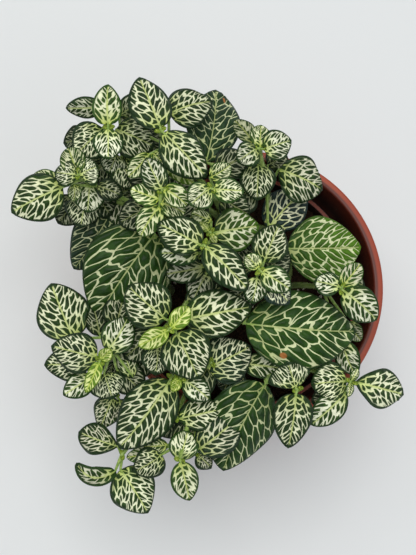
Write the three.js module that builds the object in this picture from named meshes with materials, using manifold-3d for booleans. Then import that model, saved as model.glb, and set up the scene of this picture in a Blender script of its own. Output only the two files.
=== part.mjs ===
// A nerve plant (Fittonia) in a thin round nursery pot. Millimetres, +Z up.
// The origin is the middle of the pot's underside, and the pot's axis is Z.
import * as THREE from "three";
import { mergeVertices } from "three/addons/utils/BufferGeometryUtils.js";
import Module from "manifold-3d";

const wasm = await Module();
wasm.setup();

// Driving sizes.
const RIM_R = 50; // outside radius of the lip
const POT_H = 86;
const LIP_W = 2.4;
const LIP_H = 2.4;
const WALL = 1.2;
const COLLAR_H = 20; // the wider band under the lip, down to the stacking step
const STEP_IN = 2;
const BASE_R = 35.5;
const FLOOR_T = 1.6;
const POT_SIDES = 40;
const DRAIN_HOLES = 8;
const DRAIN_R = 2.2;
const DRAIN_AT = 27;
const SOIL_DROP = 24; // from the rim down to the soil
const SOIL_DOME = 2; // how much higher the soil is in its middle
const GAP = 0.3; // kept between pieces that touch
const STEM_R = 1.1;
const STEM_SIDES = 5;
const STEM_STEPS = 5;
const CLEAR_RIM = 12; // how far over the rim an outer stem is steered before it droops
const FOOT_R = 2.6; // the crown where a plant's stems meet
const BUD_R = 1.3;
const COLLAR_W = 0.8; // wall of the ring that joins a pair of leaves round their stem
const COLLAR_LEN = 2.2;
const JOINT_SPACING = 4.5; // least distance along a stem from one joint to the next
const LOWEST_JOINT = 0.2; // share of a stem's length
const LEAF_T = 0.7; // blade thickness at the midrib
const PETIOLE_R = 0.55;
const SMOOTHED = 0.1; // slivers smaller than this are taken off a cut blade
const ARCH = 0.09; // rise of a blade's middle over its chord, as a share of its length
const CUP = 0.3; // drop of its edges under the midrib, as a share of its half width

// Stations along a blade: [share of its length, share of its half width].
const OUTLINE = [
  [0, 0.12],
  [0.14, 0.76],
  [0.43, 1.03],
  [0.78, 0.8],
  [1, 0],
];

// The crown is laid out as an eye above the pot sees it: a plan place is where something appears
// on a sheet that stands square to the eye's axis at the rim's level, and it is carried along
// its line of sight to its own height over the rim.
const EYE = new THREE.Vector3(-57, -39, 345); // over the middle of the rim
const AIM = new THREE.Vector3(-15.5, 2.5, 0); // where the eye's axis meets the rim's level
const AIM_X = -13.8; // and that spot's own plan place
const AIM_Y = 4.2;

// The plants, each with the place of its foot on the soil, and its shoots. A shoot is
// [top x, y, height, leaf nodes], and each leaf node is a list of leaves
// [base x, y, height, tip x, y, height, width].
const PLANTS = {
  back_left: {
    foot: [-22, 20],
    shoots: {
      corner: {
        top: [-50, 58.5, 34],
        tip: [
          [-50, 59.5, 35, -50, 74, 34, 10.5],
          [-50, 58, 35, -50, 47.3, 34, 11],
        ],
        pair: [
          [-52, 58.5, 28, -61.5, 49, 25, 14.5],
          [-47, 58, 28, -33.5, 52, 25, 15.5],
        ],
        low: [
          [-52, 66, 24, -65, 65.5, 21, 8],
          [-46, 63, 24, -38, 69, 21, 9],
          [-47, 49, 22, -50, 42, 20, 10],
          [-45, 47, 21, -41.5, 36.5, 18, 12],
          [-44, 50, 17, -36, 42, 14, 11],
          [-50, 47, 15, -57, 39, 12, 12],
          [-57, 56, 20, -66, 53, 17, 10],
          [-44, 55, 16, -35, 64, 13, 14],
        ],
      },
      side: {
        top: [-61, 41.5, 28],
        tip: [
          [-61.3, 41.3, 29, -69.3, 42.5, 28, 9.5],
          [-60.5, 41.5, 29, -53.7, 44.5, 28, 11.5],
          [-61.3, 42, 29, -64.5, 51, 26, 9],
        ],
        pair: [
          [-66.5, 37, 23, -84.5, 28, 19, 17.5],
          [-68, 39, 22, -77, 41.5, 18, 6],
        ],
        low: [
          [-62, 38, 21, -62.5, 32, 20, 5],
          [-56.5, 39, 20, -57.5, 28, 18, 11.5],
          [-58, 34, 14, -60, 22.5, 12, 14],
          [-61, 33, 10, -68, 24, 7, 12],
          [-55, 36, 12, -49, 27, 10, 12],
          [-54, 37.5, 25, -45, 34, 24, 8],
        ],
      },
      wide: {
        top: [-48.5, 32, 9],
        tip: [
          [-48, 30, 8, -62, 8, 3, 18],
          [-47, 36, 9, -41, 21.5, 7, 13.5],
          [-47, 34, 9, -38, 38, 8, 12],
          [-52, 39, 11, -63, 40, 9, 13],
        ],
      },
    },
  },
  back: {
    foot: [-8, 27],
    shoots: {
      top: {
        top: [-31, 57.5, 39],
        tip: [
          [-31, 58.5, 40, -38.5, 76.3, 37, 15.5],
          [-30, 56.8, 40, -14.5, 41.3, 37, 16],
        ],
        pair: [
          [-28, 63.5, 32, -12.5, 68, 29, 15.5],
          [-35, 49, 30, -42.5, 41, 29, 7],
          [-34, 49.5, 30, -29, 45, 29, 5],
          [-31, 47.5, 29, -19, 38.5, 26, 6],
          [-39, 57, 23, -31, 49, 20, 12],
        ],
      },
      inner: {
        top: [-30.5, 35.5, 36],
        tip: [
          [-30.5, 36, 37, -36, 47.5, 36, 9.5],
          [-29.7, 36.5, 37, -21.5, 30.5, 36, 8],
          [-31.5, 32.5, 34, -41.5, 36.3, 32, 8],
          [-31, 31.5, 34, -22.3, 27.5, 32, 8],
          [-31.5, 30, 33, -38, 19.5, 30, 9],
        ],
        pair: [
          [-33, 39, 23, -44, 45, 20, 11],
          [-28, 34, 23, -19, 41, 20, 12],
          [-36, 29, 21, -46, 24, 18, 12],
          [-27, 27, 20, -20, 18, 18, 10],
        ],
      },
      heart: {
        top: [-12.5, 36.3, 41],
        tip: [
          [-13, 36.5, 42, -20, 30.5, 41, 10.5],
          [-12, 36.3, 42, -1, 35.7, 41, 9.5],
        ],
        pair: [
          [-13, 40.5, 37, -5.8, 45, 36, 7],
          [-9, 33, 27, 1, 27, 24, 12],
          [-15, 33, 26, -22, 22, 23, 10],
          [-10, 43, 26, 0, 48, 23, 12],
        ],
      },
      big_leaf: {
        top: [-12, 45, 22],
        tip: [
          [-14.5, 46, 22, -11, 71.8, 13, 19.5],
        ],
      },
    },
  },
  back_right: {
    foot: [10, 24],
    shoots: {
      top: {
        top: [5, 51, 34],
        tip: [
          [5, 51.5, 35, 5.5, 59.3, 34, 7.5],
          [6.3, 50.8, 35, 16.3, 54, 33, 11],
          [4, 51, 35, -3, 46.3, 33, 9.5],
        ],
        pair: [
          [4.5, 45.5, 25, 4, 32.5, 23, 13],
          [3, 53, 25, -4, 61, 22, 7],
        ],
        low: [
          [12, 43.5, 20, 28.3, 36.5, 15, 17.5],
          [8, 22, 9, 21.5, 36, 8, 16],
          [2, 37, 14, -6, 29, 12, 13],
          [8, 45, 17, 14.5, 49, 15, 9],
        ],
      },
      bud: {
        top: [-13, 20.5, 28],
        tip: [
          [-13.4, 20.8, 29, -16.8, 24.5, 29, 3],
          [-12.8, 20.2, 29, -11, 16.5, 29, 3],
          [-12.5, 24.5, 27, -19.8, 27.7, 26, 5],
        ],
      },
    },
  },
  left: {
    foot: [-28, 0],
    shoots: {
      big_leaf: {
        top: [-33, 19, 15],
        tip: [
          [-33, 20, 15, -53, -9.5, 7, 31.5],
        ],
      },
      top: {
        top: [-53, -26, 26],
        tip: [
          [-52.8, -25.7, 27, -49, -22, 28, 5],
          [-53.2, -26.5, 27, -58, -37.3, 26, 5],
        ],
        pair: [
          [-54, -24.7, 23, -70.3, -20.7, 20, 15],
          [-50.5, -22.5, 23, -43, -10.5, 21, 12],
        ],
        mid: [
          [-57, -27.5, 16, -72.7, -27.5, 13, 13],
          [-56, -32, 17, -66, -38.3, 15, 9],
          [-51.5, -30.5, 17, -48.5, -39.7, 15, 13.5],
          [-47, -29, 15, -38, -37, 13, 12],
          [-46, -23, 13, -49.5, -31.5, 11, 10],
          [-41, -32, 15, -45, -20.5, 14, 9],
        ],
        low: [
          [-62.5, -18, 8, -70.5, 1.5, 4, 19.5],
          [-50, -19, 12, -43, -10, 9, 11],
          [-53, -17, 8, -56, -5, 5, 9],
          [-47, -14, 10, -44, -2, 8, 12],
        ],
      },
      curled: {
        top: [-47.5, -38, 9],
        tip: [
          [-48, -39, 9, -52.8, -50.5, 5, 11],
          [-46, -40, 9, -43.5, -48, 6, 9],
        ],
      },
    },
  },
  middle: {
    foot: [-14, 6],
    shoots: {
      top: {
        top: [-15.5, 16, 36],
        tip: [
          [-16.3, 15.7, 37, -31.7, 23.5, 34, 14],
          [-14.7, 15.5, 37, 0.7, 0.5, 34, 13],
        ],
        pair: [
          [-17, 13, 29, -31, 13, 26, 9],
          [-11.5, 20.5, 29, 4.3, 23, 26, 16],
        ],
        low: [
          [-15, 8, 21, -29, 5.5, 18, 9],
          [-14, 6, 20, -19, -4, 18, 10],
          [-12, 9, 19, -3, 13, 16, 12],
          [-17, 11, 18, -27, 18, 15, 12],
        ],
      },
      front: {
        top: [-28, -14.5, 34],
        tip: [
          [-27.3, -14, 35, -21, -6.5, 35, 7],
          [-28.3, -15, 35, -38.7, -20.3, 34, 7],
        ],
        pair: [
          [-29, -11, 31, -42.5, 1, 27, 17.5],
          [-25.3, -16, 31, -17.3, -32.3, 27, 18.5],
        ],
        mid: [
          [-22.5, -11, 25, 1.5, -6.5, 21, 17.5],
          [-32, -20, 24, -33, -31, 22, 11.5],
          [-33, -17, 20, -44, -25, 17, 13],
          [-21, -7, 17, -9, 1, 15, 12],
          [-36, -22, 14, -42, -32, 11, 12],
        ],
      },
      skirt: {
        top: [-12.5, -26.5, 18],
        tip: [
          [-14, -28.5, 18, 1.5, -20.5, 14, 18.5],
          [-14, -28, 17, -21, -40, 14, 12],
        ],
      },
    },
  },
  right: {
    foot: [17, 2],
    shoots: {
      top: {
        top: [5, 6.5, 34],
        tip: [
          [4.6, 7.5, 35, 0.3, 12.3, 34, 6.5],
          [5.6, 6.3, 35, 16, 0, 33, 9.5],
          [6.5, 9.8, 32, 11.8, 23.2, 29, 13.5],
          [4, 4.5, 32, 2, -5, 30, 9],
          [7, 4, 31, 15.5, -5, 28, 11],
        ],
        pair: [
          [3, 8, 21, -7, 12, 18, 13],
          [3, 2, 21, -6, -4, 18, 12],
          [7, 7, 21, 15, 14, 18, 12],
        ],
      },
      big_leaf: {
        top: [16, 14.5, 16],
        tip: [
          [15, 14.7, 16.5, 41.3, 15.5, 12.5, 25],
        ],
      },
      bigger_leaf: {
        top: [-1, -12, 19],
        tip: [
          [0, -12.5, 19, 38.8, -15, 14, 28.5],
        ],
      },
      outer: {
        top: [34.5, 0, 24],
        tip: [
          [34, 0.8, 25, 25, 3, 23, 9],
          [35.3, -0.5, 25, 47.3, -11, 22, 12.5],
          [35, 1, 25, 41.3, 9, 23, 7.5],
        ],
        low: [
          [34, 2.5, 8, 43, 1.5, 6, 11],
          [37, -12, 11, 41.7, -18.5, 9, 6],
          [35, -19, 10, 39.7, -31, 8, 9],
        ],
      },
    },
  },
  front_right: {
    foot: [13, -27],
    shoots: {
      outer: {
        top: [38, -33.5, 26],
        tip: [
          [38.2, -33.2, 27, 40.5, -28.8, 28, 3],
          [37.8, -33.9, 27, 37.2, -39, 27, 3],
        ],
        pair: [
          [36.5, -33.6, 24, 24, -34.6, 22, 14.8],
          [39.7, -33.8, 24, 58, -38.5, 20, 14.8],
          [36, -37.5, 22, 24, -49, 19, 10.5],
          [34, -37, 17, 24, -41, 14, 9],
        ],
      },
      top: {
        top: [18.5, -36.5, 30],
        tip: [
          [18, -36, 31, 15, -26.5, 30, 16.5],
          [18.2, -37.8, 31, 15.5, -57.3, 27, 14.7],
        ],
      },
      under: {
        top: [-2, -27, 10],
        tip: [
          [-1, -27, 10, 14.5, -29, 8, 9],
          [-3, -28, 9, -8, -37, 7, 12],
        ],
      },
      big_leaf: {
        top: [7.5, -33.5, 17],
        tip: [
          [7, -34.5, 17, -7.5, -65.3, 9, 25],
        ],
      },
    },
  },
  front_left: {
    foot: [-16, -22],
    shoots: {
      big_leaf: {
        top: [-27, -32, 18],
        tip: [
          [-27.5, -33, 19, -45.5, -57, 16, 20],
        ],
      },
      inner: {
        top: [-24, -32, 23],
        tip: [
          [-24, -32.5, 24, -26.7, -37, 24, 4],
          [-22.7, -32.7, 23, -13.3, -40, 20, 8.7],
        ],
      },
      under: {
        top: [-25.5, -46, 13],
        tip: [
          [-24.5, -47, 14, -8.7, -43.5, 13, 12],
          [-27, -45, 12, -37, -40, 10, 12],
          [-24, -44, 8, -31, -53, 5, 12],
        ],
      },
      skirt: {
        top: [-19, -58.5, 12],
        tip: [
          [-18, -58.5, 13, -3, -46, 13.5, 15.5],
          [-18, -60, 11, -12.5, -65, 8, 7],
        ],
      },
      top: {
        top: [-24, -62, 21],
        tip: [
          [-24, -62, 15, -21, -51.5, 15, 10.5],
          [-23.8, -62.7, 22, -20.3, -76.5, 19, 10],
        ],
        pair: [
          [-30.5, -60, 13, -40.5, -66, 10, 11.5],
          [-28.5, -56.5, 13, -37, -57, 10, 6],
          [-26, -56, 12, -17, -50, 10, 11],
          [-32, -58.5, 10, -43, -61, 7, 6],
        ],
      },
      trailing: {
        top: [-45, -60, 10],
        tip: [
          [-47.5, -66, 9, -61, -63, 8, 7],
          [-46.5, -57, 9, -60.3, -52, 7, 11.5],
          [-45.5, -65.5, 8, -35.7, -81, 3, 17],
        ],
      },
    },
  },
};

const colours = {
  pot: new THREE.MeshStandardMaterial({ color: 0x9a4632, roughness: 0.45 }),
  soil: new THREE.MeshStandardMaterial({ color: 0x2a1c14, roughness: 1 }),
  stem: new THREE.MeshStandardMaterial({ color: 0x7c9440, roughness: 0.6 }),
  leaf: new THREE.MeshStandardMaterial({ color: 0x3f6a34, roughness: 0.5 }),
};

const UP = new THREE.Vector3(0, 0, 1);

// From the eye to a plan place on its sheet.
function sight(x, y) {
  const axis = AIM.clone().sub(EYE);
  const ahead = axis.clone().normalize();
  const right = ahead.clone().cross(new THREE.Vector3(0, 1, 0)).normalize();
  const raised = right.clone().cross(ahead);
  return axis.addScaledVector(right, x - AIM_X).addScaledVector(raised, y - AIM_Y);
}

// How much smaller a thing is than it appears, for being nearer the eye than the sheet is.
function nearer(x, y, height) {
  return (height - EYE.z) / sight(x, y).z;
}

// A plan place carried to its height over the rim along the line of sight.
function seen(x, y, height) {
  const place = EYE.clone().addScaledVector(sight(x, y), nearer(x, y, height));
  return place.setZ(height + POT_H);
}

function solidOf(geometry) {
  geometry.deleteAttribute("normal");
  geometry.deleteAttribute("uv");
  const merged = mergeVertices(geometry, 1e-4);
  return new wasm.Manifold(
    new wasm.Mesh({
      numProp: 3,
      vertProperties: new Float32Array(merged.attributes.position.array),
      triVerts: new Uint32Array(merged.index.array),
    }),
  );
}

function meshOf(name, solid, material) {
  const made = solid.getMesh();
  const positions = new THREE.BufferAttribute(new Float32Array(made.vertProperties), 3);
  const geometry = new THREE.BufferGeometry().setAttribute("position", positions);
  geometry.setIndex(new THREE.BufferAttribute(new Uint32Array(made.triVerts), 1));
  const flat = geometry.toNonIndexed();
  flat.computeVertexNormals();
  const mesh = new THREE.Mesh(flat, material);
  mesh.name = name;
  return mesh;
}

// A closed skin over rings of points that all have the same count.
function skin(rings) {
  const count = rings[0].length;
  const points = rings.flat();
  const faces = [];
  for (let r = 0; r + 1 < rings.length; r++) {
    for (let i = 0; i < count; i++) {
      const a = r * count + i;
      const b = r * count + ((i + 1) % count);
      faces.push(a, b, b + count, a, b + count, a + count);
    }
  }
  const last = (rings.length - 1) * count;
  for (let i = 1; i + 1 < count; i++) {
    faces.push(0, i + 1, i, last, last + i, last + i + 1);
  }
  const geometry = new THREE.BufferGeometry().setFromPoints(points);
  geometry.setIndex(faces);
  return solidOf(geometry);
}

function ring(centre, along, radius, sides) {
  const side = new THREE.Vector3(0, 1, 0).cross(along);
  side.normalize();
  const other = along.clone().cross(side).normalize();
  return Array.from({ length: sides }, (_, i) => {
    const turn = (i / sides) * 2 * Math.PI;
    return centre
      .clone()
      .addScaledVector(side, radius * Math.cos(turn))
      .addScaledVector(other, radius * Math.sin(turn));
  });
}

function tube(curve, radius, steps, sides) {
  const rings = [];
  for (let i = 0; i <= steps; i++) {
    rings.push(ring(curve.getPoint(i / steps), curve.getTangent(i / steps), radius, sides));
  }
  return skin(rings);
}

function ball(centre, radius) {
  const geometry = new THREE.IcosahedronGeometry(radius, 0);
  geometry.translate(centre.x, centre.y, centre.z);
  return solidOf(geometry);
}

function lathe(profile, sides) {
  const points = profile.map(([r, z]) => new THREE.Vector2(r, z));
  return solidOf(new THREE.LatheGeometry(points, sides).rotateX(Math.PI / 2));
}

function innerRadius(z) {
  const stepZ = POT_H - COLLAR_H;
  const wallTop = RIM_R - LIP_W;
  if (z > stepZ) {
    return wallTop - WALL - (0.6 * (POT_H - z)) / COLLAR_H;
  }
  const under = wallTop - 0.6 - STEP_IN - WALL;
  return BASE_R - WALL + ((under - BASE_R + WALL) * z) / stepZ;
}

function pot() {
  const stepZ = POT_H - COLLAR_H;
  const topIn = innerRadius(POT_H);
  const collarIn = innerRadius(stepZ + 0.01);
  const underIn = innerRadius(stepZ - WALL);
  const body = lathe(
    [
      [0, 0],
      [BASE_R - 1, 0],
      [BASE_R, 1],
      [underIn + WALL, stepZ - WALL],
      [collarIn + WALL, stepZ],
      [topIn + WALL, POT_H - LIP_H],
      [RIM_R - 0.5, POT_H - LIP_H],
      [RIM_R, POT_H - LIP_H + 0.6],
      [RIM_R, POT_H - 0.6],
      [RIM_R - 0.6, POT_H],
      [topIn + 0.6, POT_H],
      [topIn, POT_H - 0.6],
      [collarIn, stepZ],
      [underIn, stepZ],
      [innerRadius(FLOOR_T), FLOOR_T],
      [0, FLOOR_T],
    ],
    POT_SIDES,
  );
  let made = body;
  for (let i = 0; i < DRAIN_HOLES; i++) {
    const turn = ((i + 0.5) / DRAIN_HOLES) * 2 * Math.PI;
    const drill = new THREE.CylinderGeometry(DRAIN_R, DRAIN_R, 3 * FLOOR_T, 8);
    drill.rotateX(Math.PI / 2);
    drill.translate(DRAIN_AT * Math.cos(turn), DRAIN_AT * Math.sin(turn), 0);
    made = made.subtract(solidOf(drill));
  }
  return made;
}

const soilZ = POT_H - SOIL_DROP;

function soil() {
  const stepZ = POT_H - COLLAR_H;
  const bottom = FLOOR_T + GAP;
  return lathe(
    [
      [0, bottom],
      [innerRadius(bottom) - GAP, bottom],
      [innerRadius(soilZ - 3) - GAP, soilZ - 3],
      [innerRadius(soilZ - 3) - 5, soilZ - 0.5],
      [18, soilZ + 0.7 * SOIL_DOME],
      [0, soilZ + SOIL_DOME],
    ].filter(([, z]) => z < stepZ),
    POT_SIDES / 2,
  );
}

// A stem rises from its plant's foot and leans to its top. One whose top hangs out past the rim
// climbs steeply first, clears the rim, and turns up again at its end.
function stemCurve(foot, top) {
  const rise = top.z - foot.z;
  const outside = Math.hypot(top.x, top.y) > RIM_R;
  const bend = foot.clone().lerp(top, outside ? 0.1 : 0.2);
  bend.setZ(foot.z + (outside ? 0.75 : 0.55) * rise);
  const near = foot.clone().lerp(top, outside ? 0.86 : 0.75);
  near.setZ(outside ? Math.max(foot.z + 0.6 * rise, POT_H + CLEAR_RIM) : foot.z + 0.75 * rise);
  return new THREE.CubicBezierCurve3(foot, bend, near, top);
}

// A blade and its petiole: each ring of the blade is left edge, top, right edge, underside.
function leaf(from, [bx, by, bh, tx, ty, th, width], spare) {
  const base = seen(bx, by, bh);
  const tip = seen(tx, ty, th);
  const half = (nearer((bx + tx) / 2, (by + ty) / 2, (bh + th) / 2) * width) / 2;
  const along = tip.clone().sub(base);
  const length = along.length();
  along.normalize();
  const over = UP.clone().addScaledVector(along, -along.z).normalize();
  const across = along.clone().cross(over);
  const rings = [];
  const addRing = (centre, reach, drop, thick) => {
    const edge = centre.clone().addScaledVector(over, -drop);
    rings.push([
      edge.clone().addScaledVector(across, -reach),
      centre.clone().addScaledVector(over, thick),
      edge.clone().addScaledVector(across, reach),
      centre.clone().addScaledVector(over, -thick),
    ]);
  };
  for (const [share, wide] of OUTLINE) {
    const bulge = 4 * ARCH * length * share * (1 - share);
    const centre = base.clone().addScaledVector(along, share * (length + spare));
    centre.addScaledVector(over, bulge);
    const reach = Math.max(half * wide, share < 1 ? PETIOLE_R : 0.12) + spare;
    const thick = share < 1 ? LEAF_T / 2 : 0.1;
    addRing(centre, reach, share < 1 ? CUP * half * wide : 0, thick + spare);
  }
  const into = base.clone().addScaledVector(along, 0.1 * length);
  const petiole = new THREE.LineCurve3(from, into);
  return skin(rings).add(tube(petiole, PETIOLE_R + spare, 1, 3));
}

// The place on a stem just under the bases of these leaves, and clear of the joint over it.
function jointOn(curve, leaves, highest) {
  const middle = new THREE.Vector3();
  for (const [x, y, h] of leaves) {
    middle.add(seen(x, y, h - 2.5));
  }
  middle.divideScalar(leaves.length);
  let best = LOWEST_JOINT;
  for (let t = LOWEST_JOINT; t < highest; t += 0.01) {
    if (curve.getPoint(t).distanceTo(middle) < curve.getPoint(best).distanceTo(middle)) {
      best = t;
    }
  }
  return best;
}

// Leaves that meet in a bud over the end of their stem.
function tipLeaves(top, along, leaves, spare) {
  const middle = top.clone().addScaledVector(along, BUD_R + GAP);
  let made = ball(middle, BUD_R * 0.95 + spare);
  for (const one of leaves) {
    made = made.add(leaf(middle, one, spare));
  }
  return made;
}

// Leaves that meet in a ring round their stem, clear of it.
function ringLeaves(curve, t, leaves, spare) {
  const centre = curve.getPoint(t);
  const along = curve.getTangent(t);
  const half = along.clone().multiplyScalar(COLLAR_LEN / 2 + spare);
  const low = centre.clone().sub(half);
  const high = centre.clone().add(half);
  const outer = STEM_R + GAP + COLLAR_W;
  let made = skin([
    ring(low, along, outer + 0.2 + spare, 6),
    ring(high, along, outer + 0.2 + spare, 6),
  ]);
  for (const one of leaves) {
    const way = seen(one[0], one[1], one[2]).sub(centre);
    way.addScaledVector(along, -way.dot(along)).normalize();
    const start = centre.clone().addScaledVector(way, outer - 0.4);
    made = made.add(leaf(start, one, spare));
  }
  return made;
}

const group = new THREE.Group();
group.add(meshOf("pot", pot(), colours.pot));
group.add(meshOf("soil", soil(), colours.soil));

// The stems come first, and a fatter copy of each cuts its way through every leaf it passes.
const inTheWay = [];
const leafNodes = [];
for (const [plant, { foot, shoots }] of Object.entries(PLANTS)) {
  const reach = Math.hypot(foot[0], foot[1]);
  const z = soilZ + SOIL_DOME * (1 - reach / 60) + GAP;
  const start = new THREE.Vector3(foot[0], foot[1], z);
  const crownTop = start.clone().setZ(z + 3);
  const crown = (r) => skin([ring(start, UP, r, 8), ring(crownTop, UP, r * 0.7, 8)]);
  let stems = crown(FOOT_R);
  let around = crown(FOOT_R + GAP);
  for (const [shoot, { top, ...nodes }] of Object.entries(shoots)) {
    const end = seen(...top);
    const curve = stemCurve(crownTop.clone().setZ(z + 1), end);
    stems = stems.add(tube(curve, STEM_R, STEM_STEPS, STEM_SIDES));
    around = around.add(tube(curve, STEM_R + GAP + SMOOTHED, STEM_STEPS, STEM_SIDES));
    const spacing = JOINT_SPACING / curve.getLength();
    let joint = 1;
    for (const [level, leaves] of Object.entries(nodes)) {
      if (level !== "tip") {
        joint = jointOn(curve, leaves, joint - spacing);
      }
      leafNodes.push({ name: `${plant}_${shoot}_${level}`, level, leaves, curve, end, joint });
    }
  }
  inTheWay.push(around);
  group.add(meshOf(`${plant}_stems`, stems, colours.stem));
}

function leavesOf({ level, leaves, curve, end, joint }, spare) {
  if (level === "tip") {
    return tipLeaves(end, curve.getTangent(1), leaves, spare);
  }
  return ringLeaves(curve, joint, leaves, spare);
}

// The highest leaves are placed first, and each later node is cut clear of those over it.
const height = ({ leaves }) => leaves.reduce((sum, one) => sum + one[2], 0) / leaves.length;
leafNodes.sort((a, b) => height(b) - height(a));
for (const node of leafNodes) {
  let made = leavesOf(node, 0);
  for (const other of inTheWay) {
    made = made.subtract(other);
  }
  const bodies = made.simplify(SMOOTHED).decompose().sort((a, b) => b.volume() - a.volume());
  inTheWay.push(leavesOf(node, GAP + SMOOTHED));
  group.add(meshOf(node.name, bodies[0], colours.leaf));
}

export default group;
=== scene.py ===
import math
import random
import bpy
from mathutils import Matrix, Quaternion, Vector, noise


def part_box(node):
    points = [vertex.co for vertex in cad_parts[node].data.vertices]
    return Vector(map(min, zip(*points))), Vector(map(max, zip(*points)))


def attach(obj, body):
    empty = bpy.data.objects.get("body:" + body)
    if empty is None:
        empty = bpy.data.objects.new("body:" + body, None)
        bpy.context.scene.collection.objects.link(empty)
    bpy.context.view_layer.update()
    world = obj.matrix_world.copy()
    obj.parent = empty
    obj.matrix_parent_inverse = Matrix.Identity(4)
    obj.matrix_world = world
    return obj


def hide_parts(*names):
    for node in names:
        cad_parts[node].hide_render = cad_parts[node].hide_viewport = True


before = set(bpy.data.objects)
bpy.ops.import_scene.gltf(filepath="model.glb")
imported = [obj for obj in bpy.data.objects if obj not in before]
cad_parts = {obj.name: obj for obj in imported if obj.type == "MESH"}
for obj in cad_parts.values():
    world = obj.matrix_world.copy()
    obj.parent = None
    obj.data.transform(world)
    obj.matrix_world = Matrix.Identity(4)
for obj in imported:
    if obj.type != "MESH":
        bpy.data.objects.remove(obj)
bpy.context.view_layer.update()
print("frame loaded:", len(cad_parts), "nodes")

mm = 0.001
up = Vector((0, 0, 1))
scene = bpy.context.scene
potHeight = (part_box("pot")[1][2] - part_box("pot")[0][2]) / mm
rimRadius = (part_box("pot")[1][0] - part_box("pot")[0][0]) / mm / 2


def toLinear(hexColour):
    # sRGB hex to the linear values that a shader takes
    parts = [int(hexColour[i:i + 2], 16) / 255 for i in (1, 3, 5)]
    return tuple(c / 12.92 if c <= 0.04045 else ((c + 0.055) / 1.055) ** 2.4 for c in parts) + (1,)


def addNode(tree, kind, links=None, **settings):
    # links feed sockets by place or name, from a value, an output, or a node's first output in use
    node = tree.nodes.new(kind)
    for name, value in settings.items():
        setattr(node, name, value)
    for key, source in (links or {}).items():
        if isinstance(key, int):
            socket = node.inputs[key]
        else:
            socket = next(s for s in node.inputs if s.enabled and s.name == key)
        if isinstance(source, bpy.types.Node):
            source = next(s for s in source.outputs if s.enabled)
        if isinstance(source, bpy.types.NodeSocket):
            tree.links.new(source, socket)
        else:
            socket.default_value = source
    return node


def newMaterial(name):
    material = bpy.data.materials.new(name)
    material.use_nodes = True
    material.node_tree.nodes.clear()
    return material, material.node_tree


def newGeometryTree(name, inputs):
    tree = bpy.data.node_groups.new(name, "GeometryNodeTree")
    tree.interface.new_socket("Geometry", in_out="INPUT", socket_type="NodeSocketGeometry")
    for label, kind in inputs.items():
        tree.interface.new_socket(label, in_out="INPUT", socket_type="NodeSocket" + kind)
    tree.interface.new_socket("Geometry", in_out="OUTPUT", socket_type="NodeSocketGeometry")
    return tree, addNode(tree, "NodeGroupInput").outputs


def addModifier(piece, tree, values):
    # inputs are set by their sockets' identifiers, before the object is first evaluated
    modifier = piece.modifiers.new(tree.name, "NODES")
    modifier.node_group = tree
    for item in tree.interface.items_tree:
        if item.in_out == "INPUT" and item.name in values:
            modifier[item.identifier] = values[item.name]


def newObject(name, data, materials=()):
    piece = bpy.data.objects.new(name, data)
    scene.collection.objects.link(piece)
    for material in materials:
        data.materials.append(material)
    return piece


def baked(piece):
    # the evaluated object becomes a plain mesh with no modifier left
    bpy.context.view_layer.update()
    mesh = bpy.data.meshes.new_from_object(piece.evaluated_get(bpy.context.evaluated_depsgraph_get()))
    name = piece.name
    bpy.data.objects.remove(piece)
    return newObject(name, mesh)


def settle(piece, node):
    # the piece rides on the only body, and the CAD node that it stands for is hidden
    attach(piece, "root")
    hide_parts(node)


# the camera looks down on the plant from its left front, the light is a wide pale sky and two soft boxes
view = {
    "eye": (-57, -39, 345),      # mm over the middle of the rim
    "aim": (-15.5, 2.5, 0),
    "aimDrawn": (-13.8, 4.2),    # where the drawing of the leaves has that point
    "lens": 62.6,
    "floorHex": "#E1E4E5",
    "floorReach": 6.0,           # metres
    "skyHex": "#F1F4F6",
    "skyStrength": 0.54,
    "keyAt": (-0.2, 0.25, 1.25),
    "keySize": 0.8,
    "keyPower": 9.5,
    "keyHex": "#FFFDF9",
    "fillAt": (0.7, -0.5, 0.9),
    "fillSize": 1.0,
    "fillPower": 1.6,
    "fillHex": "#F3F7FF",
}


def overRim(x, y, height):
    return Vector((x, y, height + potHeight)) * mm


def makeCamera():
    eye = overRim(*view["eye"])
    back = (eye - overRim(*view["aim"])).normalized()
    right = Vector((0, 1, 0)).cross(back).normalized()
    camera = newObject("camera", bpy.data.cameras.new("camera"))
    camera.data.lens = view["lens"]
    camera.data.clip_start = 0.01
    turn = Matrix((right, back.cross(right), back)).transposed()
    camera.matrix_world = Matrix.Translation(eye) @ turn.to_4x4()
    scene.camera = camera


def makeSoftBox(name, at, size, power, colourHex):
    light = bpy.data.lights.new(name, "AREA")
    light.size = size
    light.energy = power
    light.color = toLinear(colourHex)[:3]
    holder = newObject(name, light)
    holder.location = at
    holder.rotation_euler = (overRim(0, 0, 0) - Vector(at)).to_track_quat("-Z", "Y").to_euler()


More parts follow.
